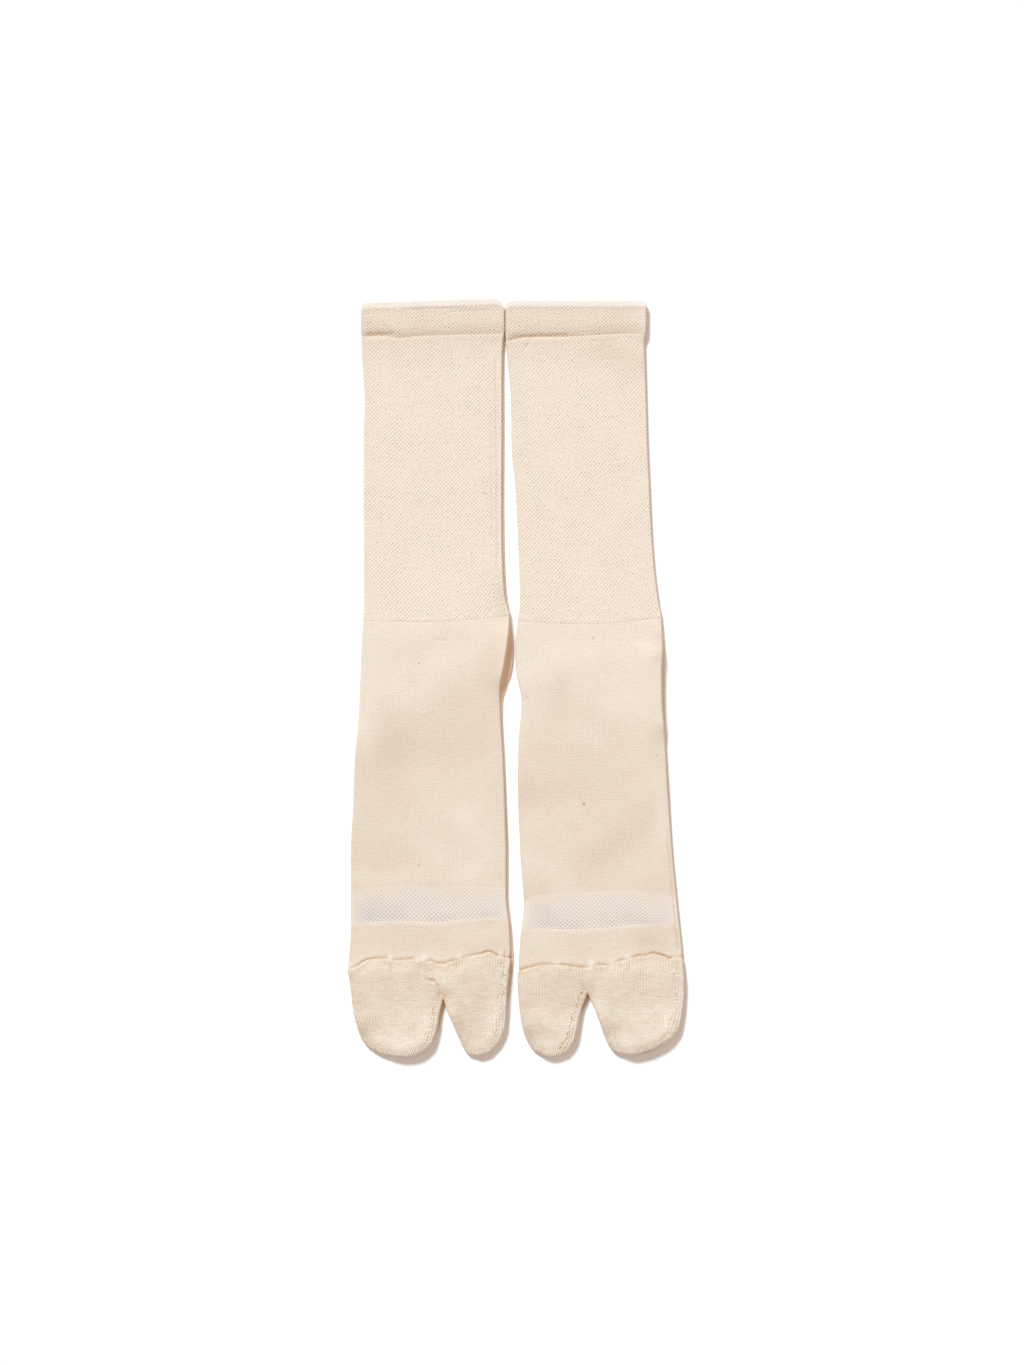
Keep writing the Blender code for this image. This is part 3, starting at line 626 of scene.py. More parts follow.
def past_fold(net):
    """How far each point lies from the nearest edge along the cloth itself."""
    bent = net.radius * np.arccos(np.clip(1 - net.distance / net.radius, 0, 1))
    return np.where(net.distance < net.radius, bent, net.distance + (math.pi / 2 - 1) * net.radius)


def stood_up(sock, net):
    """How far the side folds stand up: they lift the upper panel, and the lower stays down."""
    stays = ease(past_fold(net) / LIFT_RUN) * (net.side < 0)
    return folded(sock.lifts, net) * (1 - stays)


def ledge_width(sock, net):
    """How far the lower panel shows beyond the right side fold."""
    return np.interp(net.y, *np.array(sock.ledge).T) * (net.inward_x < 0) * (net.side < 0)


def outer_face(sock, net, height, push, wide, squash=1.0):
    """The points of the outer face, each pushed out from the zone's plain form.

    Where the lower panel reaches out from under the fold, wide is the width of that ledge.
    """
    push = np.maximum(push, -DEEPEST)
    level, rise = net.level, net.rise
    reach = np.where(net.side > 0, height - net.radius, net.radius)
    z = np.maximum(net.radius + reach * rise + rise * push, 0)
    run = past_fold(net)
    on_ledge = run < LEDGE_RUNS[-1]
    back = 1 - ease((run - LEDGE_RUNS[-1]) / LEDGE_RETURN)
    start = LEDGE_RUNS[-1] - (math.pi / 2 - 1) * net.radius
    far = back * (LEDGE_REACHES[-1] * wide + start) - net.distance
    near = wide * np.interp(run, LEDGE_RUNS, LEDGE_REACHES)
    ledge_z = np.interp(run, LEDGE_RUNS, (net.radius, *LEDGE_HEIGHTS))
    shown = np.clip(wide, 0, 1)
    ways = shown * (np.where(on_ledge, near, far) + net.distance)
    z = z + shown * (np.where(on_ledge, ledge_z, z) - z)
    x = net.x - net.inward_x * (level * push + ways)
    y = net.y - net.inward_y * (level * push + ways)
    return np.stack([x, y, z * squash + stood_up(sock, net)], -1)


def inner_face(sock, net, height, wall, squash=1.0):
    """The points of the lining, one wall in from the plain form."""
    reach = np.where(net.side > 0, height - net.radius, net.radius)
    shift = net.radius - (net.radius - wall) * net.level - np.minimum(net.distance, net.radius)
    x = net.x + net.inward_x * shift
    y = net.y + net.inward_y * shift
    z = net.radius + (reach - wall) * net.rise
    return np.stack([x, y, z * squash + stood_up(sock, net)], -1)


def lined(knots, counts):
    """The rows of a net that its lining uses: so many steps in each stretch between the knots."""
    stretches = zip(knots, knots[1:], counts)
    chosen = [np.linspace(a, b, count + 1).round().astype(int) for a, b, count in stretches]
    return np.unique(np.concatenate(chosen))


class Shell:
    """A closed wall of cloth: outer faces, a coarser lining, and rims where they end."""

    def __init__(self):
        self.points, self.uvs, self.crisp = [], [], []
        self.marks = {"tint": [], "fleck": [], "mixed": [], "warm": [], "loose": []}
        self.faces, self.linings, self.behind, self.count = [], [], {}, 0

    def take(self, points, net, marks, crisp=False):
        """Adds a net's points and gives their numbers."""
        shape = points.shape[:2]
        self.points.append(points.reshape(-1, 3))
        self.uvs.append(np.stack([net.u, net.v], -1).reshape(-1, 2))
        self.crisp.append(np.broadcast_to(crisp, shape).ravel())
        for name, values in self.marks.items():
            values.append(np.broadcast_to(marks.get(name, 0.0), shape).ravel())
        numbers = self.count + np.arange(shape[0] * shape[1]).reshape(shape)
        self.count += numbers.size
        return numbers

    @staticmethod
    def quads(numbers, keep, turned):
        """The faces between the points, all of them or those to keep."""
        a, b, c, d = numbers[:-1, :-1], numbers[1:, :-1], numbers[1:, 1:], numbers[:-1, 1:]
        faces = np.stack([d, c, b, a] if turned else [a, b, c, d], -1)
        return faces.reshape(-1, 4) if keep is None else faces[keep]

    def add(self, net, outer, lined_rows, inner, marks, keep=None, turned=False, crisp=False):
        """A net of outer faces and, on some of its rows, the lining behind them.

        A rim between two crisp points is flat across, so that no shade gathers along it.
        """
        front = self.take(outer, net, marks, crisp)
        back = self.take(inner, net.rows(lined_rows), {})
        self.faces.append(self.quads(front, keep, turned))
        if keep is not None:
            keep = keep[lined_rows[:-1]]
        self.linings.append(self.quads(back, keep, not turned))
        self.behind.update(zip(front[lined_rows].ravel().tolist(), back.ravel().tolist()))

    def corners(self, first, same):
        """The corners of every face, rims among them, and the open edges that the rims close."""
        outer = np.concatenate(self.faces)
        behind = {int(same[a]): b for a, b in self.behind.items()}
        welded = same[outer]
        ends = np.stack([welded, np.roll(welded, -1, axis=1)], -1).reshape(-1, 2)
        ends = ends[ends[:, 0] != ends[:, 1]]
        code = ends[:, 0] * len(first) + ends[:, 1]
        open_edges = ends[~np.isin(code, ends[:, 1] * len(first) + ends[:, 0])]
        rims = [(first[b], first[a], behind[int(a)], behind[int(b)]) for a, b in open_edges]
        faces = [outer, *self.linings, np.array(rims, int).reshape(-1, 4)]
        return np.concatenate(faces), open_edges

    def build(self, name, material):
        """The piece, with points that coincide made one and rims along the open edges."""
        points = np.concatenate(self.points)
        _, first, same = np.unique(
            np.round(points * WELD_PARTS).astype(np.int64), axis=0, return_index=True, return_inverse=True
        )
        same = same.reshape(-1)
        corners, open_edges = self.corners(first, same)
        vertex = same[corners]
        kept = vertex != np.roll(vertex, 1, axis=1)
        whole = kept.sum(1) > 2
        corners, vertex, kept = corners[whole], vertex[whole], kept[whole]
        mesh = bpy.data.meshes.new(name)
        mesh.vertices.add(len(first))
        mesh.vertices.foreach_set("co", (points[first] * MM).astype(np.float32).ravel())
        mesh.loops.add(int(kept.sum()))
        mesh.loops.foreach_set("vertex_index", vertex[kept].astype(np.int32))
        mesh.polygons.add(len(vertex))
        starts = np.concatenate([[0], np.cumsum(kept.sum(1))[:-1]])
        mesh.polygons.foreach_set("loop_start", starts.astype(np.int32))
        mesh.update(calc_edges=True)
        mesh.validate()
        uvs = np.concatenate(self.uvs)[corners[kept]].astype(np.float32)
        mesh.uv_layers.new(name="stitches").data.foreach_set("uv", uvs.ravel())
        for attribute, values in self.marks.items():
            layer = mesh.attributes.new(attribute, "FLOAT", "POINT")
            layer.data.foreach_set("value", np.concatenate(values)[first].astype(np.float32))
        mesh.shade_smooth()
        crisp = np.concatenate(self.crisp)[first]
        flatten_rims(mesh, open_edges[crisp[open_edges].all(1)])
        mesh.materials.append(material)
        return linked(name, mesh)


def flatten_rims(mesh, rims):
    """Makes these edges sharp, so that the cloth beside them isn't shaded as if it rounded over."""
    edges = np.empty(2 * len(mesh.edges), np.int32)
    mesh.edges.foreach_get("vertices", edges)
    edges = np.sort(edges.reshape(-1, 2), axis=1).astype(np.int64)
    count = len(mesh.vertices)
    sharp = np.isin(edges @ (count, 1), np.sort(rims, axis=1) @ (count, 1))
    mesh.attributes.new("sharp_edge", "BOOLEAN", "EDGE").data.foreach_set("value", sharp)


def linked(name, data):
    """A new object in the scene."""
    thing = bpy.data.objects.new(name, data)
    bpy.context.scene.collection.objects.link(thing)
    return thing


# ---------------------------------------------------------------- stitches, edges and marks


def turned_in(distance, radius):
    """How far an edge is drawn in where it rounds over to its end."""
    t = np.clip(1 - distance / radius, 0, 1)
    return -radius * (1 - np.sqrt(1 - t * t))


def staggered(u, v):
    """1 at the holes of a staggered lattice, and -1 at the nubs between them."""
    return np.cos(2 * np.pi * u) * np.cos(2 * np.pi * v)


def lattice(net):
    """The relief of the tuck knit: nubs, with holes on a staggered lattice between them."""
    tuck = staggered(net.u, net.v)
    strength = 0.8 + 0.2 * mottle(net, 14, 3) + 0.4 * mottle(net, 3.1, 4)
    return strength * (NUB_HEIGHT * np.maximum(-tuck, 0) - TUCK_DEPTH * np.maximum(tuck, 0) ** 2)


def swelling(sock, net):
    """The broad folds of the upper panel."""
    return (folded(sock.folds, net) + 0.07 * mottle(net, 24, 8)) * (net.side > 0)


def painted_patches(sock, net):
    """Broad patches of painted shade and painted light, as a tint."""
    return folded(sock.tones, net) * net.upper


def spotted(sock, net):
    """Small bumps, a little longer than they are wide."""
    lift = np.zeros_like(net.x)
    for spot in sock.spots:
        lift += spot.rise * bell(np.hypot(net.x - spot.x, (net.y - spot.y) * 0.7), spot.size)
    return lift * net.upper


def flecked(sock, net):
    """Specks of seed hull caught in the yarn."""
    marks = np.zeros_like(net.x)
    for x, y, size in sock.flecks:
        marks = np.maximum(marks, bell(away_from(net, x, y), size) * net.upper)
    return marks


def strength_along(line, net):
    """How strongly a seam shows at each point. The hidden side shows a middling, uneven one."""
    shown = np.interp(net.x, *np.array(line).T)
    hidden = 0.5 + 0.4 * mottle(net, 9, 13, stretch=(1, 0))
    return shown * net.upper + hidden * (1 - net.upper)


def ankle_strength(net):
    """How strongly the ankle seam shows."""
    return 0.6 + 0.5 * mottle(net, 5, 7)


def painted_fold_shading(net, wide, pale):
    """Painted shade on the side fold that faces the light and painted light on the shaded one, off its
    ledge.
    """
    lit = LIT_FOLD_SHADE * (net.inward_x > 0) * (net.side > 0)
    shaded = pale * np.clip(1 - net.inward_x, 0, 1) * (1 - np.clip(wide, 0, 1))
    return net.level * (lit - shaded)


def painted_bounce(sock, net, wide):
    """Painted warm bounce light on the ledge, which lies in shade under the fold."""
    warmth = sock.ledge_warmth * np.clip(0.25 + 0.2 * wide, 0, 0.9)
    return warmth * (wide > 0.2) * (past_fold(net) < LEDGE_RUNS[-1])


class Cloth:
    """A zone's cloth: the height, relief, tint and marks of each point of its net.

    It starts from what the sock's tables say. wide is the width of the ledge at each point, and
    pale how much painted light the shaded fold gets.
    """

    def __init__(self, sock, net, zone, wide, pale):
        self.sock, self.net, self.wide, self.wall = sock, net, wide, zone.wall
        self.dents = folded(sock.creases, net) * net.upper
        bumps = spotted(sock, net)
        troughs = folded(sock.under, net) * np.maximum(-net.rise, 0)
        self.height = zone.height + swelling(sock, net)
        self.push = self.dents + troughs + bumps
        # The tint holds painted shade and light: the patches, the side folds and the creases' shade. The
        # ledge, in shade under the fold, gets painted warm bounce light.
        self.tint = painted_patches(sock, net) + painted_fold_shading(net, wide, pale)
        self.tint += np.clip(-CREASE_SHADE * self.dents, 0, 0.7)
        self.mixed = np.clip(1.8 * bumps, 0, 0.7)
        self.warm = painted_bounce(sock, net, wide)
        self.loose = 0.0

    def warm_up(self, warmth):
        """Gives the cloth at least this much painted warm bounce light."""
        self.warm = np.maximum(self.warm, warmth)

    def link(self, groove, strength, away, warmth=0.0):
        """Draws the cloth in along a linking seam, at these distances from it, with painted shade and
        painted warm bounce light.
        """
        self.push -= (groove.depth + groove.deeper * strength) * bell(away, groove.width)
        shade = groove.shade + groove.darker * strength**groove.power
        self.tint += shade * bell(away, groove.reach)
        self.warm_up(SEAM_BOUNCE_LIGHT * np.clip(warmth, 0, 1) * bell(away, SEAM_BOUNCE_REACH))

    def add_to(self, shell, chosen, squash=1.0, **ways):
        """Adds the outer face and, on the chosen rows, the lining."""
        net = self.net
        wall, squash = np.broadcast_to(self.wall, net.x.shape), np.broadcast_to(squash, net.x.shape)
        outer = outer_face(self.sock, net, self.height, self.push, self.wide, squash)
        height, wall = self.height[chosen], wall[chosen]
        inner = inner_face(self.sock, net.rows(chosen), height, wall, squash[chosen])
        marks = {name: getattr(self, name) for name in ("tint", "mixed", "warm", "loose")}
        shell.add(net, outer, chosen, inner, {**marks, "fleck": flecked(self.sock, net)}, **ways)


def finish_piece(shell, sock, name, node, material, area=None):
    """Builds a shell and hides the solid that it stands for; area is not used."""
    piece = shell.build(f"{sock.name}_{name}", material)
    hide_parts(f"{sock.name}_{node}")
    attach(piece, "root")


# ---------------------------------------------------------------- the zones


def build_welt(sock, material):
    """The turned welt, with its rolled cuff."""
    lines = [line_across(sock, "cuff"), line_across(sock, "welt", 1)]
    net = tube_net(sock, WELT, lines, [(True, True)], full_turn(WELT), WELT.wales)
    roll = 1 - onset(net.down, ROLL_LENGTH, ROLL_FALL)
    groove = bell(net.down - ROLL_LENGTH - 2, 2.2) * (0.7 + 0.3 * mottle(net, 7, 5))
    seam = strength_along(sock.welt_line, net)
    cloth = Cloth(sock, net, WELT, ledge_width(sock, net), pale=0.4)
    cloth.height += ROLL_HEIGHT * roll - 0.6 * bell(net.up, 3.5)
    cloth.push += lattice(net) * (1 - 0.95 * roll) - 0.04 * groove + turned_in(net.down, CUFF_TURN)
    # The roll is paler, and the groove under it and the welt's lower edge take painted shade.
    cloth.tint += 0.3 - 0.38 * roll + 0.2 * groove + 0.3 * seam * bell(net.up, 5)
    cloth.mixed = 0.8 * roll
    cloth.link(WELT_GROOVE, seam, net.up, warmth=0.3 + 0.7 * seam)
    shell = Shell()
    cloth.add_to(shell, lined((0, len(net.x) - 1), (4,)))
    finish_piece(shell, sock, "welt_cloth", "welt", material)


def build_leg(sock, material):
    """The leg, in the same tuck knit."""
    lines = [line_across(sock, "welt", -1), line_across(sock, "ankle", 1)]
    net = tube_net(sock, LEG, lines, [(True, True)], full_turn(LEG), LEG.wales)
    seam = strength_along(sock.welt_line, net)
    cloth = Cloth(sock, net, LEG, ledge_width(sock, net), pale=0.45)
    cloth.height += 0.3 * bell(net.down, 3.5)
    cloth.push += lattice(net)
    cloth.tint += 0.22 * bell(net.down - 6, 9)
    cloth.link(LEG_GROOVE, seam, net.down, warmth=0.3 + 0.7 * seam)
    cloth.link(ANKLE_GROOVE, ankle_strength(net), net.up)
    shell = Shell()
    cloth.add_to(shell, lined((0, len(net.x) - 1), (10,)))
    finish_piece(shell, sock, "leg_cloth", "leg", material)


def build_foot(sock, material):
    """The foot tube, with the window for the mesh band in its instep."""
    sides = {"ankle": -1, "band_top": 1, "band_bottom": -1, "toe": 1}
    lines = [line_across(sock, name, side) for name, side in sides.items()]
    turns_in = [(True, True), (False, False), (True, True)]
    net = tube_net(sock, FOOT, lines, turns_in, full_turn(FOOT), FOOT.wales)
    middle = net.y[:, FOOT.wales // 2]
    first_row, last_row = (int(np.argmin(np.abs(middle - line(0.5)))) for line in lines[1:3])
    keep = np.ones((len(net.x) - 1, net.x.shape[1] - 1), bool)
    keep[first_row:last_row, slice(*sock.window)] = False
    crisp = np.zeros(net.x.shape, bool)
    crisp[first_row : last_row + 1, sock.window[0] : sock.window[1] + 1] = True
    left, right = fold_edges(sock, net.y)
    part = (net.x - left) / (right - left)
    above, beneath = net.y - lines[1](part), lines[2](part) - net.y
    near_band = 1 - ease(np.maximum(np.maximum(above, beneath), 0) / 2.2)
    under_band = near_band * onset(net.distance, 2 * net.radius, 3) * (net.side < 0)
    below = ease(0.5 + (np.interp(net.x, *np.array(sock.deeper).T) - net.y) / 30)
    seam = strength_along(sock.toe_line, net)
    cloth = Cloth(sock, net, FOOT, ledge_width(sock, net), pale=0.25)
    cloth.height += 0.5 * bell(net.up, 4)
    cloth.push += WALE_HEIGHT * np.cos(2 * np.pi * net.u)
    cloth.push -= 0.3 * bell(net.up, 3.0) * (0.7 + 0.5 * mottle(net, 5, 9))
    # The foot is a shade deeper below the line deeper, and gets painted light just under the band,
    # against the shade along its lower seam.
    cloth.tint += 0.45 * below - 0.12 * bell(beneath, 0.45) * net.upper
    cloth.mixed = np.maximum(cloth.mixed, 0.35 * near_band * net.upper)
    cloth.wall = FOOT.wall + UNDER_MESH * under_band
    cloth.link(INSTEP_GROOVE, ankle_strength(net), net.down)
    cloth.link(FOOT_GROOVE, seam, net.up, warmth=seam)
    chosen = lined((0, first_row, last_row, len(net.x) - 1), (9, last_row - first_row, 3))
    shell = Shell()
    cloth.add_to(shell, chosen, keep=keep, crisp=crisp)
    width, length = flat = (0.180, 0.206)
    window = 0.090 * 0.019  # what the mesh band takes up
    finish_piece(
        shell, sock, "foot_cloth", "foot", material, area=width * length - window
    )


def band_net(sock):
    """The mesh band's net, with its wales and courses in whole numbers, and its flat size."""
    lines = [line_across(sock, "band_top", -1), line_across(sock, "band_bottom", 1)]
    left, right = fold_edges(sock, float(lines[0](0.5) + lines[1](0.5)) / 2)
    girth = 2 * (float(right - left) + (math.pi - 2) * FOOT.height / 2)
    gap = SEAM_GAP / girth
    start, end = np.array(sock.window) / (FOOT.wales * FOOT.across) + (gap, -gap)
    width, length = (end - start) * girth, float(lines[0](0.5) - lines[1](0.5))
    turns = np.linspace(start, end, round(width / BAND_WALE) * BAND.across + 1)
    zone = BAND._replace(course=length / round(length / BAND.course))
    net = tube_net(sock, zone, lines, [(False, False)], turns, 1)
    net.u = np.broadcast_to(np.arange(len(turns)) / BAND.across, net.x.shape).copy()
    return net, (width * MM, length * MM)


def open_holes(net, holes, sizes):
    """Draws the points round each hole in or out to its size, and leaves its faces out."""
    keep = np.ones((len(net.x) - 1, net.x.shape[1] - 1), bool)
    for r, c in zip(*np.nonzero(holes)):
        keep[r - 1 : r + 1, c - 1 : c + 1] = False
        for dr, dc in [(i, j) for i in (-1, 0, 1) for j in (-1, 0, 1) if i or j]:
            shrink = sizes[r, c] * (0.75 if dr and dc else 1) - 1
            net.x[r + dr, c + dc] += (net.x[r + dr, c + dc] - net.x[r, c]) * shrink
            net.y[r + dr, c + dc] += (net.y[r + dr, c + dc] - net.y[r, c]) * shrink
    return keep


def build_band(sock, material):
    """The mesh band: diagonal strands round a staggered lattice of holes."""
    net, flat = band_net(sock)
    wales = net.u.max()
    column_at = (net.u * BAND.across).round().astype(int)
    row_at = (net.v * BAND.along).round().astype(int) + BAND_SHIFT
    inside = (net.down > BAND_BORDER[0]) & (net.up > BAND_BORDER[1])
    inside &= (net.u > sock.plain[0]) & (net.u < wales - sock.plain[1])
    half = BAND.across // 2
    spot = np.maximum(column_at % BAND.across, row_at % BAND.across)
    holes = inside & (column_at % BAND.across == row_at % BAND.across) & np.isin(spot, (0, half))
    low = bell(net.up - 2.2, 3.2) * (0.85 + 0.4 * mottle(net, 12, 15))
    fading = ease((wales - net.u) / 7) * ease(0.2 + net.u / 5) * ease(0.3 + net.down / 5)
    keep = open_holes(net, holes, HOLE_LEAST + (HOLE_MORE[0] + HOLE_MORE[1] * low) * fading)
    tuck = staggered(net.u, net.v + BAND_SHIFT / BAND.along)
    rim = np.where(inside, np.maximum(tuck, 0) ** 1.5, 0)
    push = STRAND_HEIGHT * np.where(inside, np.maximum(-tuck, 0), 0) - RIM_DEPTH * rim * fading
    height = FOOT.height + swelling(sock, net)
    border = bell(net.down, 4.0) + 0.8 * bell(net.up, 1.1)
    ends = bell(net.u, 1.5) + bell(wales - net.u, 1.5)
    seams = bell(net.up, 0.4) + bell(net.u, 0.15) + bell(wales - net.u, 0.15)
    # Painted shade round and in the holes, deeper towards the lower edge, and painted light along the
    # band's seams, against the shade line there.
    tint = 0.22 + painted_patches(sock, net) + (rim * (0.02 + 0.3 * low) + 0.35 * low * inside) * fading
    creamy = np.clip(0.35 + 0.6 * border + 0.4 * ends + 0.25 * mottle(net, 11, 16), 0, 0.9)
    marks = {"tint": tint - 0.12 * seams, "mixed": creamy}
    crisp = np.ones(net.x.shape, bool)
    crisp[1:-1, 1:-1] = False
    outer = outer_face(sock, net, height, push, wide=0)
    inner = inner_face(sock, net, height, BAND.wall)
    shell = Shell()
    shell.add(net, outer, np.arange(len(net.x)), inner, marks, keep, crisp=crisp)
    finish_piece(
        shell, sock, "band_mesh", "instep_mesh_band", material,
        area=(1 - OPEN_SHARE) * flat[0] * flat[1],
    )


# ---------------------------------------------------------------- the toe pockets


def mouth_points(sock, part):
    """Plan points on the mouth of the toe end."""
    y = line_across(sock, "toe", -1)(part)
    left, right = fold_edges(sock, y)
    return np.stack([left + part * (right - left), y], -1)


def pocket_lines(sock, side):
    """A pocket's outer side, its tip and its cleft side, as dense lines from the mouth down."""
    outer_name, cleft_name = (("left", "cleft_left"), ("right", "cleft_right"))[side]
    outer = [mouth_points(sock, float(side)), *((getattr(row, outer_name), row.y) for row in sock.toes)]
    parted = [row for row in sock.toes if row.cleft_left is not None]
    cleft = [sock.cleft, *((getattr(row, cleft_name), row.y) for row in parted)]
    tip = sock.tips[side][:: 1 - 2 * side]
    line = through([*outer, *tip, *cleft[::-1]])
    tip_start = len(outer) * CURVE_STEPS
    tip_end = tip_start + (len(tip) - 1) * CURVE_STEPS
    return line[: tip_start + 1], line[tip_start : tip_end + 1], line[tip_end:][::-1]


def toe_outline(sock):
    """The whole outline of the toe end, from the left end of the toe seam round to the right."""
    left_outer, left_tip, left_cleft = pocket_lines(sock, 0)
    right_outer, right_tip, right_cleft = pocket_lines(sock, 1)
    lines = [left_outer, left_tip, left_cleft[::-1], right_cleft, right_tip[::-1], right_outer[::-1]]
    return np.vstack([lines[0], *(line[1:] for line in lines[1:])])


def edge_facts(outline, line):
    """For each point of a line: its distance to the outline and the way in from there."""
    start, step = outline[:-1], np.diff(outline, axis=0)
    ahead = line[:, None] - start
    part = np.clip((ahead * step).sum(-1) / (step**2).sum(-1), 0, 1)
    away = np.linalg.norm(ahead - part[..., None] * step, axis=-1)
    nearest = away.argmin(1)
    each = np.arange(len(line))
    distance = away[each, nearest]
    way = line - start[nearest] - part[each, nearest][:, None] * step[nearest]
    corner = np.linalg.norm(line[:, None] - outline, axis=-1).argmin(1)
    before, after = np.maximum(corner - 1, 0), np.minimum(corner + 1, len(outline) - 1)
    run = outline[after] - outline[before]
    run = run / np.linalg.norm(run, axis=1)[:, None]
    normal = np.stack([-run[:, 1], run[:, 0]], -1)
    on_edge = distance < 1e-4
    way = np.where(on_edge[:, None], normal, way / np.maximum(distance, 1e-9)[:, None])
    return np.where(on_edge, 0.0, distance), way


def bow(line, share):
    """How far a curved line stands off the straight one between its ends."""
    return line - line[0] - share * (line[-1] - line[0])


def tip_rows(length, step, radius):
    """Rows from the cleft down, closer together where the tip rounds over."""
    reach = length - radius + math.pi / 2 * radius
    count = round(reach / step)
    run = np.arange(1, count + 1) / count * reach
    return (length - from_left(reach - run, length, radius, both=False)) / length


def pocket_net(sock, side, divider, outline, upward):
    """One panel of one pocket, from its mouth at the toe seam to its tip, and its cleft's row."""
    radius, step = TOE.height / 2, TOE.course / TOE.along
    outer, tip, cleft = pocket_lines(sock, side)
    mouth_end = mouth_points(sock, divider)
    depth, pocket = mouth_end[1] - sock.cleft[1], sock.cleft[1] - tip[0][1]
    mouth_parts = np.concatenate([[0], row_parts(depth, step, True, False)[1:]])
    pocket_parts = tip_rows(pocket, step, radius)
    over_cleft = mouth_end + mouth_parts[:, None] * (np.array(sock.cleft) - mouth_end)
    inner_side = np.vstack([over_cleft, along(cleft, pocket_parts)])
    mouth_share = depth / (depth + pocket)
    rows_down = [mouth_parts * mouth_share, mouth_share + pocket_parts * (1 - mouth_share)]
    rows_down = np.concatenate(rows_down)
    sides = [along(outer, rows_down), inner_side][:: 1 - 2 * side]
    tip = tip[:: 1 - 2 * side]
    start, end = ((0.0, divider), (divider, 1.0))[side]
    span = np.linalg.norm(mouth_points(sock, start) - mouth_points(sock, end))
    wales = round(span / TOE_WALE)
    even = np.arange(wales * TOE.across + 1) / (wales * TOE.across)
    reach = span - radius + math.pi / 2 * radius
    mouth = from_left(even * reach, span, radius, both=False) / span
    mouth = 1 - mouth[::-1] if side else mouth
    u = LAST_WALE - (1 - even) * wales if side else even * wales
    toe_line = line_across(sock, "toe", -1)
    points = []
    for down, left, right in zip(rows_down, *sides):
        width = float(np.linalg.norm(right - left))
        graded = from_left(even * (width + (math.pi - 2) * radius), width, radius) / width
        across = mouth + (graded - mouth) * min(down / mouth_share, 1)
        share = across[:, None]
        line = left + share * (right - left)
        line += (1 - down) ** 2 * bow(mouth_points(sock, start + across * (end - start)), share)
        line += down**3 * bow(along(tip, across), share)
        distance, way = edge_facts(outline, line)
        if down == 0:
            way[:, 1] = 0
        x, y = line.T
        below = toe_line(start + (x - x.min()) / np.ptp(x) * (end - start)) - y
        panel, v = np.full_like(x, upward), np.full_like(x, down * (depth + pocket) / TOE.course)
        points.append((x, y, distance, *way.T, panel, u, v, below, below))
    return Net(points, radius), len(mouth_parts) - 1


def gore_marks(sock, net):
    """The linking lines' little holes and nubs, most of them faint: (relief, tint with painted shade in
    the holes, looseness).
    """
    relief, tint, loose = np.zeros_like(net.x), np.zeros_like(net.x), np.zeros_like(net.x)
    for number, gore in enumerate(sock.gores):
        line = through(gore.line)
        count = round(lengths(line)[-1] / GORE_STEP)
        random = np.random.default_rng(20 + number)
        places = along(line, (np.arange(count) + 0.5) / count)
        away = np.hypot(net.x[..., None] - places[:, 0], net.y[..., None] - places[:, 1]).min(-1)
        loose = np.maximum(loose, gore.strength * bell(away, gore.spread * 1.6))
        places = places + random.uniform(-1, 1, (count, 2)) * (gore.spread, 0.4)
        strengths = gore.strength * random.uniform(0.1, 1.2, count) ** 1.5
        for turn, (place, strength) in enumerate(zip(places, strengths)):
            stitch, strength = (GORE_NUB, gore.strength) if turn % 2 else (GORE_HOLE, strength)
            spot = strength * bell(away_from(net, *place), stitch.size)
            relief += stitch.relief * spot
            tint += stitch.tint * spot
    return relief * net.upper, tint * net.upper, loose * net.upper


def pocket_height(net, crotch, plain):
    """How high a panel stands: crowned, with a ridge inside its tip, and low at mouth and crotch."""
    full = plain + TOE_CROWN * ease(net.distance / TOE_CROWN_REACH)
    full = full + TIP_RIDGE * bell(net.distance - 5.0, 4.5) * onset(net.down, 22, 16)
    full = full - CROTCH_DIP * bell(crotch, 12) * bell(net.distance, 5)
    risen = np.sin(np.pi / 2 * np.clip(net.down / TOE_RISE_LENGTH, 0, 1))
    return TOE_MOUTH_HEIGHT + (full - TOE_MOUTH_HEIGHT) * risen


def pocket_ledge(sock, net, side, crotch):
    """The lower panel's ledge, in the cleft of the left pocket and past the fold of the right."""
    if side:
        return ledge_width(sock, net)
    below_cleft = onset(sock.cleft[1] - net.y, -1, 3) * ease(1.4 - crotch / sock.cleft_ledge)
    return TOE_LEDGE * below_cleft * (net.inward_x < -0.5) * (net.side < 0)


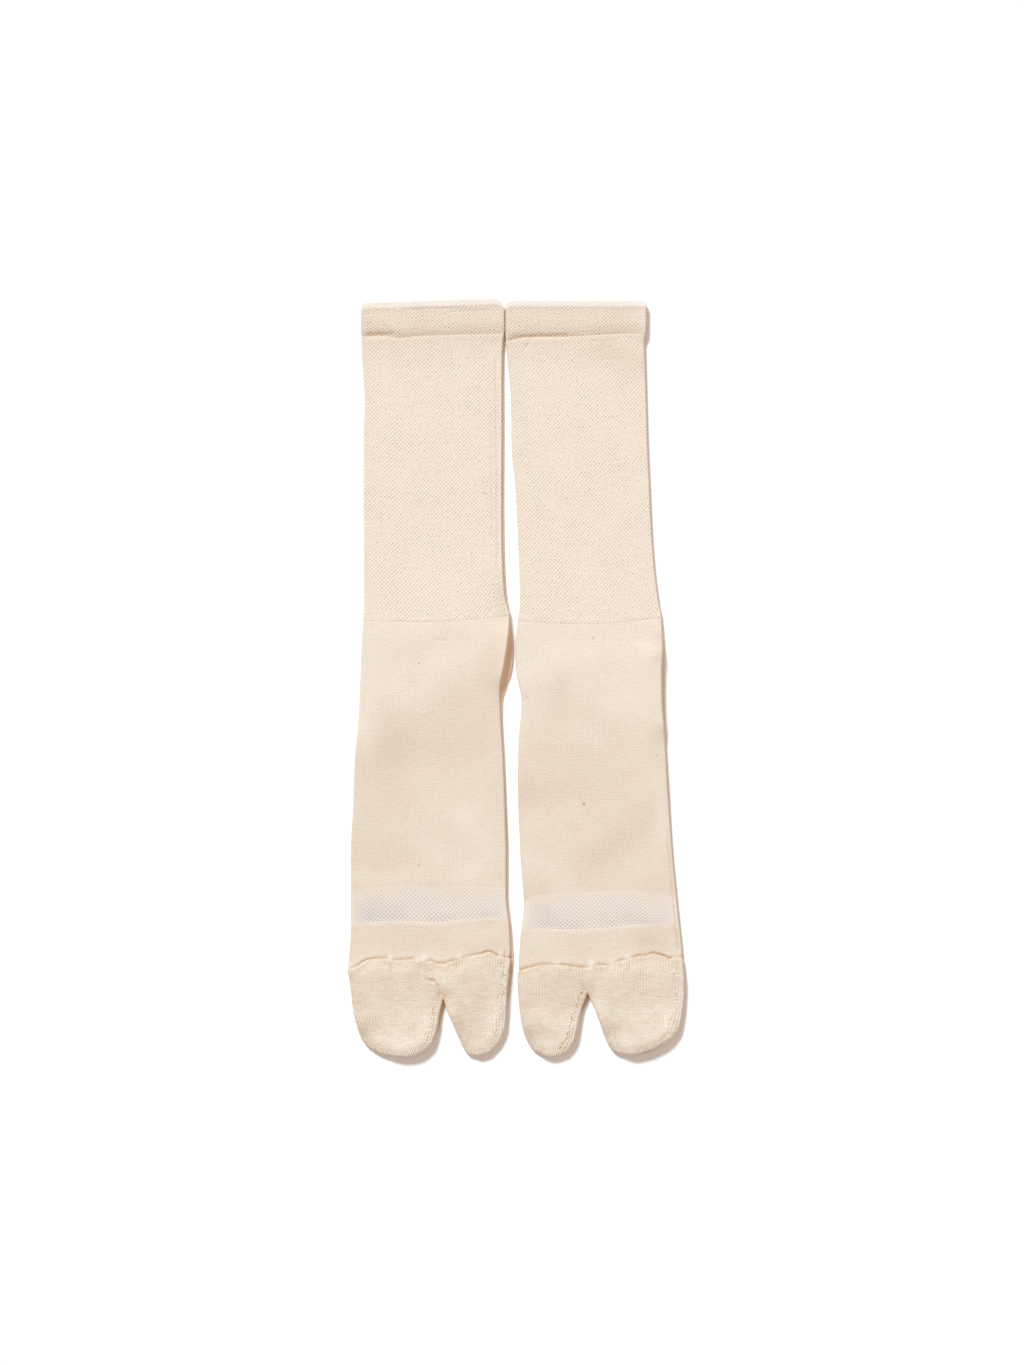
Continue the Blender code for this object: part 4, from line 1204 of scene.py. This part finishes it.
def pocket_cloth(sock, net, side):
    """A panel's terry: cords of loops along the wales, drawn together at the seam and the tip."""
    crotch = away_from(net, *sock.cleft)
    seam = strength_along(sock.toe_line, net)
    gore, gore_tint, loose = gore_marks(sock, net)
    cord = np.cos(2 * np.pi * net.u) * (0.8 + 0.3 * np.cos(2 * np.pi * net.v))
    cord = cord * (0.5 + 0.5 * mottle(net, 2.1, 11))
    rib = np.cos(2 * np.pi * 0.7 * net.u) * bell(net.distance - 2.5, 6) * onset(net.down, 26, 14)
    rib = rib * (0.7 + 0.5 * mottle(net, 4, 23))
    pucker = mottle(net, 6, 12) * bell(net.down - 2.5, 3.5)
    wide = pocket_ledge(sock, net, side, crotch)
    cloth = Cloth(sock, net, TOE, wide, pale=0.8)
    cloth.height = pocket_height(net, crotch, cloth.height)
    cloth.push += CORD_HEIGHT * cord + PUCKER_HEIGHT * pucker * net.upper + gore + RIB_HEIGHT * rib
    cloth.push += LOOP_HEIGHT * mottle(net, 1.3, 17) * bell(net.distance, 4)
    cloth.push += 0.05 * mottle(net, 1.1, 22, stretch=(0.4, 1))
    # The tint holds painted shade in the gore holes, at the crotch, on the ledge, along the left pocket's
    # cleft and just below the toe seam; the warm blend is painted bounce light in creases, at the crotch
    # and in the gore holes.
    cloth.tint += gore_tint - 0.45 * rib + 1.1 * bell(crotch, 1.6)
    cloth.tint += 0.5 * np.clip(wide, 0, 1) * (past_fold(net) < LEDGE_RUNS[-1])
    cloth.tint += 0.8 * ease(1 - crotch / 28) * net.level**2 * np.clip(-net.inward_x, 0, 1)
    cloth.tint += 0.1 * mottle(net, 7, 18) + 0.12 * mottle(net, 3, 19)
    cloth.tint += 0.16 * mottle(net, 1.5, 21, stretch=(0.35, 1))
    cloth.tint += 0.22 * bell(net.down - 4, 12) + 0.2 * bell(net.down - 1.8, 1.6)
    cloth.tint -= 0.15 * bell(net.distance - 7, 5) * onset(net.down, 25, 12)
    cloth.link(TOE_GROOVE, seam, net.down, warmth=seam)
    cloth.warm_up(0.4 * np.clip(-cloth.dents, 0, 0.6) + 0.6 * bell(crotch, 2.5))
    cloth.warm_up(0.4 * np.clip(gore_tint, 0, 1))
    cloth.loose = loose
    return cloth


def build_toes(sock, material):
    """The two terry pockets as one piece, each of an upper and a lower panel."""
    outline = toe_outline(sock)
    (left, _), (right, _) = mouth_points(sock, np.array([0.0, 1.0]))
    divider = float((sock.cleft[0] - left) / (right - left))
    shell = Shell()
    for side in (0, 1):
        for upward in (1, -1):
            net, cleft_row = pocket_net(sock, side, divider, outline, upward)
            share = (net.x - net.x.min(1, keepdims=True)) / np.ptp(net.x, axis=1)[:, None]
            squash = 1 - TIP_SQUASH * (1 - ease(share / 0.55)) * onset(net.down, 30, 14)
            chosen = lined((0, cleft_row, len(net.x) - 1), (3, 7))
            pocket_cloth(sock, net, side).add_to(shell, chosen, squash, turned=upward < 0)
    finish_piece(
        shell, sock, "toe_cloth", "toes", material, area=0.0102
    )


# ---------------------------------------------------------------- materials


class Formula:
    """A node's output, or a number, with arithmetic that adds Math nodes."""

    tree = None

    def __init__(self, value):
        self.value = value

    def math(self, operation, *others):
        """A Math node on this value and others."""
        node = self.tree.nodes.new("ShaderNodeMath")
        node.operation = operation
        for socket, item in zip(node.inputs, (self, *others)):
            value = item.value if isinstance(item, Formula) else item
            if isinstance(value, (int, float)):
                socket.default_value = value
            else:
                self.tree.links.new(value, socket)
        return Formula(node.outputs[0])

    def __add__(self, other):
        return self.math("ADD", other)

    def __sub__(self, other):
        return self.math("SUBTRACT", other)

    def __mul__(self, other):
        return self.math("MULTIPLY", other)


def wave(value):
    """A cosine with one turn to a stitch."""
    return (value * (2 * math.pi)).math("COSINE")


def tuck_knit(u, v, broad, small, slub):
    """Holes on a staggered lattice, darkened as painted shade, with nubs between and stretches where only
    half show.
    """
    across, down = wave(u), wave(v)
    strength = ((broad - 0.5) * 2.0 + (small - 0.5) * 3.0 + 0.9).math("MINIMUM", 1.25)
    return across * down * strength + (across + down) * (small - 0.5) * 2.4 + (slub - 0.5) * 1.0


def plain_knit(u, v, broad, small, slub):
    """Fine wales that show in patches."""
    strength = (broad - 0.5) * 4.0 + (small - 0.5) * 1.5 + 0.8
    return wave(u) * strength + wave(v) * (small - 0.5) + (slub - 0.5) * 5.0


def terry_knit(u, v, broad, small, slub):
    """Cords of loops along the wales."""
    strength = (broad - 0.5) * 2.0 + (small - 0.5) * 2.5 + 0.5
    return wave(u) * strength + wave(u) * wave(v) * 0.4 + (slub - 0.5) * 2.6


def mesh_knit(u, v, broad, small, slub):
    """The strands are in the shape itself. Here they only vary."""
    return (small - 0.5) * 0.6 + (slub - 0.5) * 0.6


def give(node, **values):
    """Sets a node's own inputs. An underscore in a name stands for a space."""
    for name, value in values.items():
        node.inputs[name.replace("_", " ")].default_value = value


def shaded(owner):
    """A material's or a world's nodes and links."""
    owner.use_nodes = True
    return owner.node_tree.nodes, owner.node_tree.links


def knit_material(name, knit, look):
    """Yarn that goes from its light to its deepest colour with the knit's pattern and the tint."""
    material = bpy.data.materials.new(name)
    nodes, links = shaded(material)
    Formula.tree = material.node_tree
    shader = nodes["Principled BSDF"]
    give(shader, Roughness=0.9, Specular_IOR_Level=0.2, Sheen_Weight=0.15, Sheen_Roughness=0.6)

    def attribute(label):
        node = nodes.new("ShaderNodeAttribute")
        node.attribute_name = label
        return Formula(node.outputs["Fac"])

    place = nodes.new("ShaderNodeTexCoord").outputs["Object"]

    def noise(scale, detail, where=place):
        node = nodes.new("ShaderNodeTexNoise")
        give(node, Scale=scale, Detail=detail)
        links.new(where, node.inputs["Vector"])
        return Formula(node.outputs["Fac"])

    def blend(first, second, factor):
        node = nodes.new("ShaderNodeMix")
        node.data_type = "RGBA"
        links.new(first, node.inputs["A"])
        node.inputs["B"].default_value = (*second, 1)
        links.new(factor.value, node.inputs["Factor"])
        return node.outputs["Result"]

    plan = nodes.new("ShaderNodeUVMap")
    plan.uv_map = "stitches"
    parts = nodes.new("ShaderNodeSeparateXYZ")
    links.new(plan.outputs[0], parts.inputs[0])
    u, v = Formula(parts.outputs[0]), Formula(parts.outputs[1])
    broad, small, fine = noise(60, 2), noise(330, 2), noise(1000, 3)
    yarn = nodes.new("ShaderNodeCombineXYZ")
    links.new((u * 0.25).value, yarn.inputs[0])
    links.new((v * 1.6).value, yarn.inputs[1])
    slub = noise(1.0, 2, yarn.outputs[0])
    pattern = knit(u + (small - 0.5) * 0.5, v + (fine - 0.5) * 0.4, broad, small, slub)
    ramp = nodes.new("ShaderNodeValToRGB")
    ramp.color_ramp.elements[0].color = (*look.light, 1)
    ramp.color_ramp.elements[1].color = (*look.deepest, 1)
    ramp.color_ramp.elements.new(2 / 3).color = (*look.deep, 1)
    shade = attribute("tint") * 0.42 + pattern * look.tone + 0.4
    shade = shade + (broad - 0.5) * 0.1 + (fine - 0.5) * 0.3
    # Painted shade in the gores' tiny holes, with paler nubs between.
    gaps = (fine - 0.56).math("MAXIMUM", 0.0) * 9.0 - (Formula(0.47) - fine).math("MAXIMUM", 0.0) * 3.0
    shade = shade + gaps * attribute("loose")
    links.new((shade * (2 / 3)).value, ramp.inputs[0])
    mixed = blend(ramp.outputs[0], look.other, attribute("mixed"))
    # Painted warm bounce light, where cloth lies in shade under folds and in creases, seams and holes.
    painted_bounce = blend(mixed, BOUNCE_LIGHT_COLOUR, attribute("warm"))
    colour = blend(painted_bounce, HULL_BROWN, attribute("fleck"))
    links.new(colour, shader.inputs["Base Color"])

    bump = nodes.new("ShaderNodeBump")
    give(bump, Distance=MM, Strength=1.0)
    relief = noise(2600, 2) * look.fibre - pattern * look.depth
    links.new(relief.value, bump.inputs["Height"])
    links.new(bump.outputs[0], shader.inputs["Normal"])
    return material


# ---------------------------------------------------------------- the set


def build_floor():
    """A plain pale sheet under the socks, just clear of them."""
    size, drop = 6.0, -0.00005
    mesh = bpy.data.meshes.new("floor")
    corners = [(-size, -size, drop), (size, -size, drop), (size, size, drop), (-size, size, drop)]
    mesh.from_pydata(corners, [], [(0, 1, 2, 3)])
    material = bpy.data.materials.new("floor_paper")
    nodes, _ = shaded(material)
    paper = (0.93, 0.93, 0.93, 1)
    give(nodes["Principled BSDF"], Base_Color=paper, Roughness=0.9, Specular_IOR_Level=0.1)
    mesh.materials.append(material)
    linked("floor", mesh)


def build_lights():
    """A key light from beyond the cuffs on the left, and an even white room."""
    toward_light = Vector((-0.5, 1.05, 1.0))
    key = bpy.data.lights.new("key", "SUN")
    key.energy = 3.5
    key.angle = math.radians(12)
    key.color = (0.76, 0.91, 1.0)
    lamp = linked("key", key)
    lamp.rotation_mode = "QUATERNION"
    lamp.rotation_quaternion = toward_light.to_track_quat("Z", "Y")
    world = bpy.data.worlds.new("studio")
    bpy.context.scene.world = world
    nodes, links = shaded(world)
    give(nodes["Background"], Color=(0.60, 0.49, 0.42, 1), Strength=1.0)
    seen = nodes.new("ShaderNodeBackground")
    give(seen, Color=(1, 1, 1, 1), Strength=1.05)
    mix = nodes.new("ShaderNodeMixShader")
    links.new(nodes.new("ShaderNodeLightPath").outputs["Is Camera Ray"], mix.inputs[0])
    links.new(nodes["Background"].outputs[0], mix.inputs[1])
    links.new(seen.outputs[0], mix.inputs[2])
    links.new(mix.outputs[0], nodes["World Output"].inputs["Surface"])


def build_camera():
    """Straight above, with the cuffs at the top of the picture."""
    view_height, distance = 0.819, 3.0
    data = bpy.data.cameras.new("camera")
    data.sensor_fit = "VERTICAL"
    data.sensor_height = 36
    data.lens = data.sensor_height * distance / view_height
    data.clip_end = 20
    camera = linked("camera", data)
    camera.location = (-0.00216, -0.003, distance)
    bpy.context.scene.camera = camera


def main():
    """Both socks, and the set round them."""
    tuck = knit_material("cream_tuck_knit", tuck_knit, CREAM_TUCK)
    plain = knit_material("cream_plain_knit", plain_knit, CREAM_PLAIN)
    terry = knit_material("cream_terry", terry_knit, CREAM_TERRY)
    mesh = knit_material("white_mesh", mesh_knit, WHITE_MESH)
    for sock in (RIGHT_SOCK, LEFT_SOCK):
        build_welt(sock, tuck)
        build_leg(sock, tuck)
        build_foot(sock, plain)
        build_band(sock, mesh)
        build_toes(sock, terry)
    build_floor()
    build_lights()
    build_camera()
    bpy.context.scene.view_settings.view_transform = "Standard"


main()
